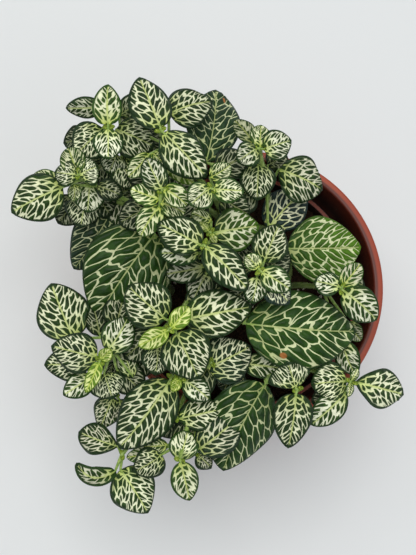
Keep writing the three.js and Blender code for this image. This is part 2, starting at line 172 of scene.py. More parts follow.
def makeStage():
    # painted board: matt, pale grey, even
    material, tree = newMaterial("painted board, pale grey")
    shader = addNode(tree, "ShaderNodeBsdfPrincipled",
                     {"Base Color": toLinear(view["floorHex"]), "Roughness": 0.9})
    addNode(tree, "ShaderNodeOutputMaterial", {"Surface": shader})
    reach = view["floorReach"]
    mesh = bpy.data.meshes.new("floor")
    mesh.from_pydata([(-reach, -reach, 0), (reach, -reach, 0), (reach, reach, 0), (-reach, reach, 0)],
                     [], [(0, 1, 2, 3)])
    newObject("floor", mesh, [material])
    world = bpy.data.worlds.new("studio")
    world.use_nodes = True
    world.node_tree.nodes["Background"].inputs["Color"].default_value = toLinear(view["skyHex"])
    world.node_tree.nodes["Background"].inputs["Strength"].default_value = view["skyStrength"]
    scene.world = world
    scene.view_settings.view_transform = "Standard"
    makeSoftBox("keySoftbox", view["keyAt"], view["keySize"], view["keyPower"], view["keyHex"])
    makeSoftBox("fillSoftbox", view["fillAt"], view["fillSize"], view["fillPower"], view["fillHex"])


makeCamera()
makeStage()
print("camera, light and floor made")


# the nursery pot, mm: a thin tapered wall, a collar stepped out over it, and a narrow rolled lip
pot = {
    "lipWidth": 2.4,
    "lipHeight": 2.4,
    "wall": 1.2,
    "collarHeight": 20.0,
    "collarTaper": 0.6,
    "stepIn": 2.0,
    "baseRadius": 35.5,
    "floor": 1.6,
    "drainHoles": 8,
    "drainRadius": 2.2,
    "drainAt": 27.0,
    "sides": 144,
    "plasticHex": "#943A20",
    "wornHex": "#A24A2E",
    # the next two are painted shade: the lip's inner edge, and the inner wall down towards the soil
    "shadedHex": "#571F10",
    "innerShadeHex": "#1E0C08",
    "dirtHex": "#2A1A10",
    "clodMm": 2.4,       # how big the bits of soil stuck inside the mouth are
    "grainMm": 0.5,      # mould grain, drawn coarser than the real one so that it shows
}


def innerRadius(z):
    collarZ = potHeight - pot["collarHeight"]
    outer = rimRadius - pot["lipWidth"]
    if z > collarZ:
        return outer - pot["wall"] - pot["collarTaper"] * (potHeight - z) / pot["collarHeight"]
    low = pot["baseRadius"] - pot["wall"]
    under = outer - pot["collarTaper"] - pot["stepIn"] - pot["wall"]
    return low + (under - low) * z / collarZ


def corner(x, z, radius, fromDegrees, toDegrees, steps=5):
    # a rounded corner of the profile, about its centre
    turns = [math.radians(fromDegrees + (toDegrees - fromDegrees) * i / steps) for i in range(steps + 1)]
    return [(x + radius * math.cos(turn), z + radius * math.sin(turn)) for turn in turns]


def potProfile():
    wall, collarZ, lipZ = pot["wall"], potHeight - pot["collarHeight"], potHeight - pot["lipHeight"]
    mouth, collar, under = innerRadius(potHeight), innerRadius(collarZ + 0.01), innerRadius(collarZ)
    profile = [(0, 0), (pot["baseRadius"] - 6, 0)]
    profile += corner(pot["baseRadius"] - 1, 1, 1, -90, -5)
    profile += [(under + wall, collarZ - wall)]
    profile += corner(collar + wall - 0.5, collarZ - wall + 1.1, 0.5, -60, 0, 3)
    profile += [(mouth + wall - 0.05, lipZ - 0.4), (mouth + wall + 0.3, lipZ)]
    profile += corner(rimRadius - 0.6, lipZ + 0.6, 0.6, -90, 0)
    profile += corner(rimRadius - 0.9, potHeight - 0.9, 0.9, 0, 90)
    profile += corner(mouth + 0.9, potHeight - 0.9, 0.9, 90, 180)
    profile += corner(collar - 0.5, collarZ + 0.5, 0.5, 0, -90, 3)
    profile += corner(under + 0.5, collarZ - 0.5, 0.5, 90, 180, 3)
    profile += [(innerRadius(pot["floor"] + 1), pot["floor"] + 1)]
    profile += [(innerRadius(pot["floor"]) - 1, pot["floor"]), (0, pot["floor"])]
    return profile


def lathe(name, profile, sides):
    # turned about Z; the profile starts and ends on the axis, where it closes in one point
    turns = [2 * math.pi * i / sides for i in range(sides)]
    points = [(r * math.cos(t) * mm, r * math.sin(t) * mm, z * mm) for r, z in profile[1:-1] for t in turns]
    points += [(0, 0, profile[0][1] * mm), (0, 0, profile[-1][1] * mm)]
    start, end = len(points) - 2, len(points) - 1
    top = start - sides
    faces = []
    for i in range(sides):
        j = (i + 1) % sides
        faces.append((start, j, i))
        faces += [(k + i, k + j, k + sides + j, k + sides + i) for k in range(0, top, sides)]
        faces.append((end, top + i, top + j))
    mesh = bpy.data.meshes.new(name)
    mesh.from_pydata(points, [], faces)
    return mesh


def drills():
    # one short cylinder for each drain hole
    points, faces, sides = [], [], 24
    for k in range(pot["drainHoles"]):
        turn = 2 * math.pi * (k + 0.5) / pot["drainHoles"]
        centre = Vector((math.cos(turn), math.sin(turn), 0)) * pot["drainAt"]
        low = len(points)
        high = low + sides
        for z in (-3, 5):
            for x, y in corner(centre.x, centre.y, pot["drainRadius"], 0, 360, sides)[:-1]:
                points.append((x * mm, y * mm, z * mm))
        for i in range(sides):
            j = (i + 1) % sides
            faces.append((low + i, low + j, high + j, high + i))
        faces.append(tuple(reversed(range(low, high))))
        faces.append(tuple(range(high, high + sides)))
    mesh = bpy.data.meshes.new("drills")
    mesh.from_pydata(points, [], faces)
    return newObject("drills", mesh)


def mouldedPolypropylene():
    # injection-moulded polypropylene: a satin skin with faint flow clouds, duller where it was handled, with
    # painted shade inside over the soil and on the lip's inner edge, and crumbs stuck to it
    material, tree = newMaterial("moulded polypropylene, terracotta")
    at = addNode(tree, "ShaderNodeTexCoord").outputs["Object"]
    part = addNode(tree, "ShaderNodeSeparateXYZ", {0: at}).outputs
    flat = addNode(tree, "ShaderNodeCombineXYZ", {0: part[0], 1: part[1]})
    radius = addNode(tree, "ShaderNodeVectorMath", {0: flat}, operation="LENGTH").outputs["Value"]
    cloud = addNode(tree, "ShaderNodeTexNoise", {"Vector": at, "Scale": 1 / (18 * mm), "Detail": 4.0})
    worn = addNode(tree, "ShaderNodeMapRange", {0: cloud, 1: 0.4, 2: 0.75}, interpolation_type="SMOOTHSTEP")
    skin = addNode(tree, "ShaderNodeMix", {"Factor": worn, "A": toLinear(pot["plasticHex"]),
                                           "B": toLinear(pot["wornHex"])}, data_type="RGBA")
    outward = addNode(tree, "ShaderNodeVectorMath", {0: flat}, operation="NORMALIZE")
    facing = addNode(tree, "ShaderNodeVectorMath",
                     {0: outward, 1: addNode(tree, "ShaderNodeNewGeometry").outputs["Normal"]},
                     operation="DOT_PRODUCT").outputs["Value"]
    inside = addNode(tree, "ShaderNodeMapRange", {0: facing, 1: -0.1, 2: -0.6},
                     interpolation_type="SMOOTHSTEP")
    # painted shade: the inner wall darkens from just under the lip to 12 mm down
    lipUnder, innerShadeFrom, lipOver = [(potHeight - drop) * mm for drop in (1, 12, 0.5)]
    depth = addNode(tree, "ShaderNodeMapRange", {0: part[2], 1: lipUnder, 2: innerShadeFrom})
    innerShade = addNode(tree, "ShaderNodeMath", {0: inside, 1: depth}, operation="MULTIPLY")
    # painted shade on the lip's inner edge and the top of the inner wall
    browFrom, browTo = [(rimRadius - inset) * mm for inset in (1.7, 2.5)]
    brow = addNode(tree, "ShaderNodeMapRange", {0: radius, 1: browFrom, 2: browTo},
                   interpolation_type="SMOOTHSTEP")
    lipTop = addNode(tree, "ShaderNodeMapRange", {0: part[2], 1: lipUnder, 2: lipOver})
    mouth = addNode(tree, "ShaderNodeMath", {0: lipTop, 1: inside}, operation="MAXIMUM")
    browed = addNode(tree, "ShaderNodeMath", {0: brow, 1: mouth}, operation="MULTIPLY")
    shadedSkin = addNode(tree, "ShaderNodeMix", {"Factor": browed, "A": skin,
                                                 "B": toLinear(pot["shadedHex"])}, data_type="RGBA")
    innerShadedSkin = addNode(tree, "ShaderNodeMix", {"Factor": innerShade, "A": shadedSkin,
                                               "B": toLinear(pot["innerShadeHex"])}, data_type="RGBA")
    clods = addNode(tree, "ShaderNodeTexVoronoi", {"Vector": at, "Scale": 1 / (pot["clodMm"] * mm)})
    patches = addNode(tree, "ShaderNodeTexNoise", {"Vector": at, "Scale": 1 / (9 * mm), "Detail": 6.0})
    clodSize = addNode(tree, "ShaderNodeMapRange", {0: patches, 1: 0.5, 2: 0.8, 3: 0.0, 4: 0.55})
    over = addNode(tree, "ShaderNodeMath", {0: clodSize, 1: clods.outputs["Distance"]}, operation="SUBTRACT")
    stuck = addNode(tree, "ShaderNodeMapRange", {0: over, 1: 0.0, 2: 0.07}, interpolation_type="SMOOTHSTEP")
    dirt = addNode(tree, "ShaderNodeMath", {0: stuck, 1: inside}, operation="MULTIPLY")
    colour = addNode(tree, "ShaderNodeMix", {"Factor": dirt, "A": innerShadedSkin, "B": toLinear(pot["dirtHex"])},
                     data_type="RGBA")
    grain = addNode(tree, "ShaderNodeTexNoise",
                    {"Vector": at, "Scale": 1 / (pot["grainMm"] * mm), "Detail": 2.0})
    relief = addNode(tree, "ShaderNodeMath", {0: grain, 1: 0.25, 2: dirt}, operation="MULTIPLY_ADD")
    bump = addNode(tree, "ShaderNodeBump", {"Height": relief, "Strength": 0.3, "Distance": 0.3 * mm})
    satin = addNode(tree, "ShaderNodeMath", {0: cloud, 1: 0.2, 2: 0.4}, operation="MULTIPLY_ADD")
    rough = addNode(tree, "ShaderNodeMath", {0: dirt, 1: 0.4, 2: satin}, operation="MULTIPLY_ADD")
    shader = addNode(tree, "ShaderNodeBsdfPrincipled",
                     {"Base Color": colour, "Roughness": rough, "Normal": bump, "IOR": 1.49})
    addNode(tree, "ShaderNodeOutputMaterial", {"Surface": shader})
    return material


def makePot():
    shell = lathe("nurseryPot", potProfile(), pot["sides"])
    piece = newObject("nurseryPot", shell, [mouldedPolypropylene()])
    drill = drills()
    cut = piece.modifiers.new("drainHoles", "BOOLEAN")
    cut.object = drill
    piece = baked(piece)
    bpy.data.objects.remove(drill)
    piece.data.shade_smooth()
    piece.data.set_sharp_from_angle(angle=math.radians(40))
    settle(piece, "pot")


# the potting soil, mm: a low dome, a finger under the rim, with loose crumbs and a little perlite on it
soil = {
    "drop": 24.0,
    "dome": 2.0,
    "lumpHeight": 1.0,
    "lumpMm": 7.0,
    "crumbsPerCm2": 30.0,
    "crumbMm": 0.7,          # radius
    "perlitePerCm2": 1.2,
    "perliteMm": 0.95,
    "fibreMm": 1.4,
    "peatHex": "#24160E",
    "dryPeatHex": "#4B3323",
    "perliteHex": "#D6D0C2",
    # painted shade in the pits of the perlite
    "perlitePitShadeHex": "#8F8676",
    "sides": 96,
    "rings": 30,
}
soilZ = potHeight - soil["drop"]


def moistPeat():
    # moist peat: dark fibrous crumbs, paler where they dried, quite matt
    material, tree = newMaterial("peat, moist")
    at = addNode(tree, "ShaderNodeTexCoord").outputs["Object"]
    fibre = addNode(tree, "ShaderNodeTexNoise",
                    {"Vector": at, "Scale": 1 / (soil["fibreMm"] * mm), "Detail": 8.0, "Roughness": 0.7})
    patch = addNode(tree, "ShaderNodeTexNoise", {"Vector": at, "Scale": 1 / (14 * mm), "Detail": 3.0})
    pale = addNode(tree, "ShaderNodeMapRange", {0: fibre, 1: 0.42, 2: 0.7}, interpolation_type="SMOOTHSTEP")
    dry = addNode(tree, "ShaderNodeMath", {0: pale, 1: patch}, operation="MULTIPLY")
    colour = addNode(tree, "ShaderNodeMix", {"Factor": dry, "A": toLinear(soil["peatHex"]),
                                             "B": toLinear(soil["dryPeatHex"])}, data_type="RGBA")
    bump = addNode(tree, "ShaderNodeBump", {"Height": fibre, "Strength": 0.9, "Distance": 0.8 * mm})
    shader = addNode(tree, "ShaderNodeBsdfPrincipled",
                     {"Base Color": colour, "Roughness": 0.95, "Specular IOR Level": 0.2, "Normal": bump})
    addNode(tree, "ShaderNodeOutputMaterial", {"Surface": shader})
    return material


def expandedPerlite():
    # perlite: expanded volcanic glass, off-white, pitted, with painted shade in its pits, chalk-matt
    material, tree = newMaterial("perlite, expanded")
    at = addNode(tree, "ShaderNodeTexCoord").outputs["Object"]
    pits = addNode(tree, "ShaderNodeTexVoronoi",
                   {"Vector": at, "Scale": 1 / (0.35 * mm)}).outputs["Distance"]
    # painted shade: darker towards the middle of each pit
    colour = addNode(tree, "ShaderNodeMix", {"Factor": pits, "A": toLinear(soil["perlitePitShadeHex"]),
                                             "B": toLinear(soil["perliteHex"])}, data_type="RGBA")
    bump = addNode(tree, "ShaderNodeBump", {"Height": pits, "Strength": 0.6, "Distance": 0.2 * mm})
    shader = addNode(tree, "ShaderNodeBsdfPrincipled",
                     {"Base Color": colour, "Roughness": 0.9, "Normal": bump})
    addNode(tree, "ShaderNodeOutputMaterial", {"Surface": shader})
    return material


def grainTree():
    # grains of two kinds lie on the faces that look up
    tree, given = newGeometryTree("soilGrains", {
        "Crumb Density": "Float", "Crumb Size": "Float", "Peat": "Material",
        "Perlite Density": "Float", "Perlite Size": "Float", "Perlite": "Material", "Seed": "Int"})
    normal = addNode(tree, "GeometryNodeInputNormal")
    lookUp = addNode(tree, "ShaderNodeSeparateXYZ", {0: normal}).outputs[2]
    flat = addNode(tree, "FunctionNodeCompare", {0: lookUp, 1: 0.5}, operation="GREATER_THAN")
    joined = addNode(tree, "GeometryNodeJoinGeometry")
    for kind, stuff in (("Crumb", "Peat"), ("Perlite", "Perlite")):
        size = given[kind + " Size"]
        spots = addNode(tree, "GeometryNodeDistributePointsOnFaces",
                        {"Mesh": given["Geometry"], "Selection": flat, "Density": given[kind + " Density"],
                         "Seed": given["Seed"]})
        turn = addNode(tree, "FunctionNodeRandomValue", {"Max": (6.28, 6.28, 6.28), "Seed": given["Seed"]},
                       data_type="FLOAT_VECTOR")
        stretch = addNode(tree, "FunctionNodeRandomValue",
                          {"Min": (0.4, 0.4, 0.3), "Max": (1.4, 1.2, 0.9), "Seed": given["Seed"]},
                          data_type="FLOAT_VECTOR")
        ball = addNode(tree, "GeometryNodeMeshIcoSphere", {"Radius": size, "Subdivisions": 1})
        balls = addNode(tree, "GeometryNodeInstanceOnPoints",
                        {"Points": spots, "Instance": ball, "Rotation": turn, "Scale": stretch})
        grains = addNode(tree, "GeometryNodeRealizeInstances", {0: balls})
        waves = addNode(tree, "ShaderNodeTexNoise", {"Scale": 900.0, "Detail": 2.0}).outputs["Color"]
        centred = addNode(tree, "ShaderNodeVectorMath", {0: waves, 1: (0.5, 0.5, 0.5)}, operation="SUBTRACT")
        shift = addNode(tree, "ShaderNodeVectorMath", {0: centred, "Scale": size}, operation="SCALE")
        broken = addNode(tree, "GeometryNodeSetPosition", {"Geometry": grains, "Offset": shift})
        coloured = addNode(tree, "GeometryNodeSetMaterial", {"Geometry": broken, "Material": given[stuff]})
        tree.links.new(coloured.outputs[0], joined.inputs[0])
    tree.links.new(given["Geometry"], joined.inputs[0])
    addNode(tree, "NodeGroupOutput", {0: addNode(tree, "GeometryNodeRealizeInstances", {0: joined})})
    return tree


def soilProfile():
    low = pot["floor"] + 0.3
    profile = [(0, low), (innerRadius(low) - 0.3, low)]
    profile += [(innerRadius(soilZ - drop) - 0.25, soilZ - drop) for drop in (20, 3, 1.5, 0.6)]
    reach = innerRadius(soilZ) - 0.4
    for k in range(soil["rings"]):
        share = 1 - (k + 1) / (soil["rings"] + 1)
        profile.append((reach * share, soilZ - 1.2 * share ** 6 + soil["dome"] * (1 - share ** 2)))
    return profile + [(0, soilZ + soil["dome"])]


def makeSoil():
    peat, perlite = moistPeat(), expandedPerlite()
    mesh = lathe("pottingSoil", soilProfile(), soil["sides"])
    for vertex in mesh.vertices:
        if vertex.co.z > (soilZ - 1) * mm:
            vertex.co.z += noise.noise(vertex.co / mm / soil["lumpMm"]) * soil["lumpHeight"] * mm
    piece = newObject("pottingSoil", mesh, [peat])
    addModifier(piece, grainTree(), {
        "Crumb Density": soil["crumbsPerCm2"] * 1e4, "Crumb Size": soil["crumbMm"] * mm, "Peat": peat,
        "Perlite Density": soil["perlitePerCm2"] * 1e4, "Perlite Size": soil["perliteMm"] * mm,
        "Perlite": perlite, "Seed": 3})
    settle(baked(piece), "soil")


makePot()
print("pot made")
makeSoil()
print("soil made")


# Where the eight plants stand, as the camera sees them at the rim: the foot (x, y) of each on the soil, mm,
# then its shoots. A shoot has its top (x, y, height over the rim), then the leaves of each joint, tip first:
# base (x, y, height), tip (x, y, height), width, age, and what sets that leaf apart.
plants = {
    "back_left": {
        "foot": (-22, 20),
        "shoots": {
            "corner": {
                "top": (-50, 58.5, 34),
                "tip": [
                    (-50, 59.5, 35, -50, 74, 34, 10.5, "small", {"pale": 0.5}),
                    (-50, 58, 35, -50, 47.3, 34, 11, "small"),
                ],
                "pair": [
                    (-52, 58.5, 28, -61.5, 49, 25, 14.5, "mid", {"rows": 9}),
                    (-47, 58, 28, -33.5, 52, 25, 15.5, "mid"),
                ],
                "low": [
                    (-52, 66, 24, -65, 65.5, 21, 8, "small", {"roll": -38, "tone": 0.75}),
                    (-46, 63, 24, -38, 69, 21, 9, "small", {"roll": 35, "tone": 0.7}),
                    (-47, 49, 22, -50, 42, 20, 10, "small", {"tone": 0.85}),
                    (-45, 47, 21, -41.5, 36.5, 18, 12, "mid"),
                    (-44, 50, 17, -36, 42, 14, 11, "shade"),
                    (-50, 47, 15, -57, 39, 12, 12, "shade"),
                    (-57, 56, 20, -66, 53, 17, 10, "shade"),
                    (-44, 55, 16, -35, 64, 13, 14, "shade"),
                ],
            },
            "side": {
                "top": (-61, 41.5, 28),
                "tip": [
                    (-61.3, 41.3, 29, -69.3, 42.5, 28, 9.5, "small", {"youth": 0.42}),
                    (-60.5, 41.5, 29, -53.7, 44.5, 28, 11.5, "small", {"youth": 0.42}),
                    (-61.3, 42, 29, -64.5, 51, 26, 9, "young", {"tone": 0.8}),
                ],
                "pair": [
                    (-66.5, 37, 23, -84.5, 28, 19, 17.5, "mid"),
                    (-68, 39, 22, -77, 41.5, 18, 6, "young"),
                ],
                "low": [
                    (-62, 38, 21, -62.5, 32, 20, 5, "young"),
                    (-56.5, 39, 20, -57.5, 28, 18, 11.5, "small"),
                    (-58, 34, 14, -60, 22.5, 12, 14, "mid"),
                    (-61, 33, 10, -68, 24, 7, 12, "shade"),
                    (-55, 36, 12, -49, 27, 10, 12, "shade"),
                    (-54, 37.5, 25, -45, 34, 24, 8, "shade"),
                ],
            },
            "wide": {
                "top": (-48.5, 32, 9),
                "tip": [
                    (-48, 30, 8, -62, 8, 3, 18, "old", {"tone": 0.75, "blue": 0.5}),
                    (-47, 36, 9, -41, 21.5, 7, 13.5, "mid", {"grey": 0.5, "tone": 0.85}),
                    (-47, 34, 9, -38, 38, 8, 12, "shade"),
                    (-52, 39, 11, -63, 40, 9, 13, "shade"),
                ],
            },
        },
    },
    "back": {
        "foot": (-8, 27),
        "shoots": {
            "top": {
                "top": (-31, 57.5, 39),
                "tip": [
                    (-31, 58.5, 40, -38.5, 76.3, 37, 15.5, "mid"),
                    (-30, 56.8, 40, -14.5, 41.3, 37, 16, "mid"),
                ],
                "pair": [
                    (-28, 63.5, 32, -12.5, 68, 29, 15.5, "mid"),
                    (-35, 49, 30, -42.5, 41, 29, 7, "young"),
                    (-34, 49.5, 30, -29, 45, 29, 5, "young"),
                    (-31, 47.5, 29, -19, 38.5, 26, 6, "young", {"pale": 0.4}),
                    (-39, 57, 23, -31, 49, 20, 12, "shade"),
                ],
            },
            "inner": {
                "top": (-30.5, 35.5, 36),
                "tip": [
                    (-30.5, 36, 37, -36, 47.5, 36, 9.5, "small"),
                    (-29.7, 36.5, 37, -21.5, 30.5, 36, 8, "young"),
                    (-31.5, 32.5, 34, -41.5, 36.3, 32, 8, "young"),
                    (-31, 31.5, 34, -22.3, 27.5, 32, 8, "young"),
                    (-31.5, 30, 33, -38, 19.5, 30, 9, "young"),
                ],
                "pair": [
                    (-33, 39, 23, -44, 45, 20, 11, "shade"),
                    (-28, 34, 23, -19, 41, 20, 12, "shade"),
                    (-36, 29, 21, -46, 24, 18, 12, "shade"),
                    (-27, 27, 20, -20, 18, 18, 10, "shade"),
                ],
            },
            "heart": {
                "top": (-12.5, 36.3, 41),
                "tip": [
                    (-13, 36.5, 42, -20, 30.5, 41, 10.5, "small", {"pale": 0.4}),
                    (-12, 36.3, 42, -1, 35.7, 41, 9.5, "small", {"pale": 0.5}),
                ],
                "pair": [
                    (-13, 40.5, 37, -5.8, 45, 36, 7, "young"),
                    (-9, 33, 27, 1, 27, 24, 12, "shade"),
                    (-15, 33, 26, -22, 22, 23, 10, "shade"),
                    (-10, 43, 26, 0, 48, 23, 12, "shade"),
                ],
            },
            "big_leaf": {
                "top": (-12, 45, 22),
                "tip": [
                    (-14.5, 46, 22, -11, 71.8, 13, 19.5, "old",
                     {"blue": 0.4, "tone": 0.9, "spot": 0.84, "spotAcross": 0.45, "widest": 0.52}),
                ],
            },
        },
    },
    "back_right": {
        "foot": (10, 24),
        "shoots": {
            "top": {
                "top": (5, 51, 34),
                "tip": [
                    (5, 51.5, 35, 5.5, 59.3, 34, 7.5, "young"),
                    (6.3, 50.8, 35, 16.3, 54, 33, 11, "small"),
                    (4, 51, 35, -3, 46.3, 33, 9.5, "small"),
                ],
                "pair": [
                    (4.5, 45.5, 25, 4, 32.5, 23, 13, "mid"),
                    (3, 53, 25, -4, 61, 22, 7, "young", {"tone": 0.6}),
                ],
                "low": [
                    (12, 43.5, 20, 28.3, 36.5, 15, 17.5, "mid", {"grey": 0.5, "curl": 0.12, "widest": 0.5}),
                    (8, 22, 9, 21.5, 36, 8, 16, "mid", {"blue": 1, "grey": 0.2}),
                    (2, 37, 14, -6, 29, 12, 13, "shade"),
                    (8, 45, 17, 14.5, 49, 15, 9, "shade"),
                ],
            },
            "bud": {
                "top": (-13, 20.5, 28),
                "tip": [
                    (-13.4, 20.8, 29, -16.8, 24.5, 29, 3, "young", {"pale": 0.6}),
                    (-12.8, 20.2, 29, -11, 16.5, 29, 3, "young", {"pale": 0.6}),
                    (-12.5, 24.5, 27, -19.8, 27.7, 26, 5, "young"),
                ],
            },
        },
    },
    "left": {
        "foot": (-28, 0),
        "shoots": {
            "big_leaf": {
                "top": (-33, 19, 15),
                "tip": [
                    (-33, 20, 15, -53, -9.5, 7, 31.5, "old", {"rows": 9}),
                ],
            },
            "top": {
                "top": (-53, -26, 26),
                "tip": [
                    (-52.8, -25.7, 27, -49, -22, 28, 5, "young", {"youth": 0.9}),
                    (-53.2, -26.5, 27, -58, -37.3, 26, 5, "young", {"youth": 0.9}),
                ],
                "pair": [
                    (-54, -24.7, 23, -70.3, -20.7, 20, 15, "mid"),
                    (-50.5, -22.5, 23, -43, -10.5, 21, 12, "small"),
                ],
                "mid": [
                    (-57, -27.5, 16, -72.7, -27.5, 13, 13, "mid"),
                    (-56, -32, 17, -66, -38.3, 15, 9, "small"),
                    (-51.5, -30.5, 17, -48.5, -39.7, 15, 13.5, "mid"),
                    (-47, -29, 15, -38, -37, 13, 12, "shade"),
                    (-46, -23, 13, -49.5, -31.5, 11, 10, "shade"),
                    (-41, -32, 15, -45, -20.5, 14, 9, "mid", {"tone": 0.85, "fresh": 0.3}),
                ],
                "low": [
                    (-62.5, -18, 8, -70.5, 1.5, 4, 19.5, "mid", {"rows": 9}),
                    (-50, -19, 12, -43, -10, 9, 11, "shade"),
                    (-53, -17, 8, -56, -5, 5, 9, "shade"),
                    (-47, -14, 10, -44, -2, 8, 12, "shade"),
                ],
            },
            "curled": {
                "top": (-47.5, -38, 9),
                "tip": [
                    (-48, -39, 9, -52.8, -50.5, 5, 11, "mid", {"grey": 0.4, "cup": 0.5}),
                    (-46, -40, 9, -43.5, -48, 6, 9, "mid", {"grey": 0.4, "tone": 0.9}),
                ],
            },
        },
    },
    "middle": {
        "foot": (-14, 6),
        "shoots": {
            "top": {
                "top": (-15.5, 16, 36),
                "tip": [
                    (-16.3, 15.7, 37, -31.7, 23.5, 34, 14, "mid"),
                    (-14.7, 15.5, 37, 0.7, 0.5, 34, 13, "mid"),
                ],
                "pair": [
                    (-17, 13, 29, -31, 13, 26, 9, "small"),
                    (-11.5, 20.5, 29, 4.3, 23, 26, 16, "mid", {"fresh": 0.7, "rows": 7}),
                ],
                "low": [
                    (-15, 8, 21, -29, 5.5, 18, 9, "small", {"tone": 0.55}),
                    (-14, 6, 20, -19, -4, 18, 10, "small", {"tone": 0.55}),
                    (-12, 9, 19, -3, 13, 16, 12, "shade"),
                    (-17, 11, 18, -27, 18, 15, 12, "shade"),
                ],
            },
            "front": {
                "top": (-28, -14.5, 34),
                "tip": [
                    (-27.3, -14, 35, -21, -6.5, 35, 7, "young", {"youth": 0.9}),
                    (-28.3, -15, 35, -38.7, -20.3, 34, 7, "young", {"youth": 0.88}),
                ],
                "pair": [
                    (-29, -11, 31, -42.5, 1, 27, 17.5, "mid"),
                    (-25.3, -16, 31, -17.3, -32.3, 27, 18.5, "mid"),
                ],
                "mid": [
                    (-22.5, -11, 25, 1.5, -6.5, 21, 17.5, "mid"),
                    (-32, -20, 24, -33, -31, 22, 11.5, "mid"),
                    (-33, -17, 20, -44, -25, 17, 13, "shade"),
                    (-21, -7, 17, -9, 1, 15, 12, "shade"),
                    (-36, -22, 14, -42, -32, 11, 12, "shade"),
                ],
            },
            "skirt": {
                "top": (-12.5, -26.5, 18),
                "tip": [
                    (-14, -28.5, 18, 1.5, -20.5, 14, 18.5, "mid", {"blue": 0.4}),
                    (-14, -28, 17, -21, -40, 14, 12, "shade"),
                ],
            },
        },
    },
    "right": {
        "foot": (17, 2),
        "shoots": {
            "top": {
                "top": (5, 6.5, 34),
                "tip": [
                    (4.6, 7.5, 35, 0.3, 12.3, 34, 6.5, "young"),
                    (5.6, 6.3, 35, 16, 0, 33, 9.5, "small", {"pale": 0.3}),
                    (6.5, 9.8, 32, 11.8, 23.2, 29, 13.5, "mid"),
                    (4, 4.5, 32, 2, -5, 30, 9, "small"),
                    (7, 4, 31, 15.5, -5, 28, 11, "mid", {"blue": 0.8}),
                ],
                "pair": [
                    (3, 8, 21, -7, 12, 18, 13, "shade"),
                    (3, 2, 21, -6, -4, 18, 12, "shade"),
                    (7, 7, 21, 15, 14, 18, 12, "shade"),
                ],
            },
            "big_leaf": {
                "top": (16, 14.5, 16),
                "tip": [
                    (15, 14.7, 16.5, 41.3, 15.5, 12.5, 25, "old",
                     {"fresh": 0.9, "vein": 0.1, "rows": 10, "widest": 0.5}),
                ],
            },
            "bigger_leaf": {
                "top": (-1, -12, 19),
                "tip": [
                    (0, -12.5, 19, 38.8, -15, 14, 28.5, "old",
                     {"bend": 0.03, "spot": 0.32, "spotAcross": 0.7}),
                ],
            },
            "outer": {
                "top": (34.5, 0, 24),
                "tip": [
                    (34, 0.8, 25, 25, 3, 23, 9, "small", {"rows": 6}),
                    (35.3, -0.5, 25, 47.3, -11, 22, 12.5, "small"),
                    (35, 1, 25, 41.3, 9, 23, 7.5, "young", {"grey": 0.6}),
                ],
                "low": [
                    (34, 2.5, 8, 43, 1.5, 6, 11, "shade"),
                    (37, -12, 11, 41.7, -18.5, 9, 6, "young", {"grey": 0.6, "tone": 0.8}),
                    (35, -19, 10, 39.7, -31, 8, 9, "small", {"roll": 30, "grey": 0.3}),
                ],
            },
        },
    },
    "front_right": {
        "foot": (13, -27),
        "shoots": {
            "outer": {
                "top": (38, -33.5, 26),
                "tip": [
                    (38.2, -33.2, 27, 40.5, -28.8, 28, 3, "young"),
                    (37.8, -33.9, 27, 37.2, -39, 27, 3, "young"),
                ],
                "pair": [
                    (36.5, -33.6, 24, 24, -34.6, 22, 14.8, "mid", {"rows": 8}),
                    (39.7, -33.8, 24, 58, -38.5, 20, 14.8, "mid",
                     {"widest": 0.6, "pale": 0.2, "curl": 0.14}),
                    (36, -37.5, 22, 24, -49, 19, 10.5, "small"),
                    (34, -37, 17, 24, -41, 14, 9, "shade"),
                ],
            },
            "top": {
                "top": (18.5, -36.5, 30),
                "tip": [
                    (18, -36, 31, 15, -26.5, 30, 16.5, "mid", {"rows": 7, "widest": 0.5}),
                    (18.2, -37.8, 31, 15.5, -57.3, 27, 14.7, "mid"),
                ],
            },
            "under": {
                "top": (-2, -27, 10),
                "tip": [
                    (-1, -27, 10, 14.5, -29, 8, 9, "small"),
                    (-3, -28, 9, -8, -37, 7, 12, "shade"),
                ],
            },
            "big_leaf": {
                "top": (7.5, -33.5, 17),
                "tip": [
                    (7, -34.5, 17, -7.5, -65.3, 9, 25, "old", {"bend": 0.05}),
                ],
            },
        },
    },
    "front_left": {
        "foot": (-16, -22),
        "shoots": {
            "big_leaf": {
                "top": (-27, -32, 18),
                "tip": [
                    (-27.5, -33, 19, -45.5, -57, 16, 20, "mid", {"rows": 10, "vein": 0.12}),
                ],
            },
            "inner": {
                "top": (-24, -32, 23),
                "tip": [
                    (-24, -32.5, 24, -26.7, -37, 24, 4, "young", {"youth": 0.95}),
                    (-22.7, -32.7, 23, -13.3, -40, 20, 8.7, "small"),
                ],
            },
            "under": {
                "top": (-25.5, -46, 13),
                "tip": [
                    (-24.5, -47, 14, -8.7, -43.5, 13, 12, "mid"),
                    (-27, -45, 12, -37, -40, 10, 12, "shade"),
                    (-24, -44, 8, -31, -53, 5, 12, "shade"),
                ],
            },
            "skirt": {
                "top": (-19, -58.5, 12),
                "tip": [
                    (-18, -58.5, 13, -3, -46, 13.5, 15.5, "mid", {"blue": 0.3, "grey": 0.3}),
                    (-18, -60, 11, -12.5, -65, 8, 7, "mid", {"grey": 0.6}),
                ],
            },
            "top": {
                "top": (-24, -62, 21),
                "tip": [
                    (-24, -62, 15, -21, -51.5, 15, 10.5, "small", {"pale": 0.4, "arch": 0.3}),
                    (-23.8, -62.7, 22, -20.3, -76.5, 19, 10, "small", {"pale": 0.5}),
                ],
                "pair": [
                    (-30.5, -60, 13, -40.5, -66, 10, 11.5, "mid"),
                    (-28.5, -56.5, 13, -37, -57, 10, 6, "young", {"tone": 0.8}),
                    (-26, -56, 12, -17, -50, 10, 11, "shade"),
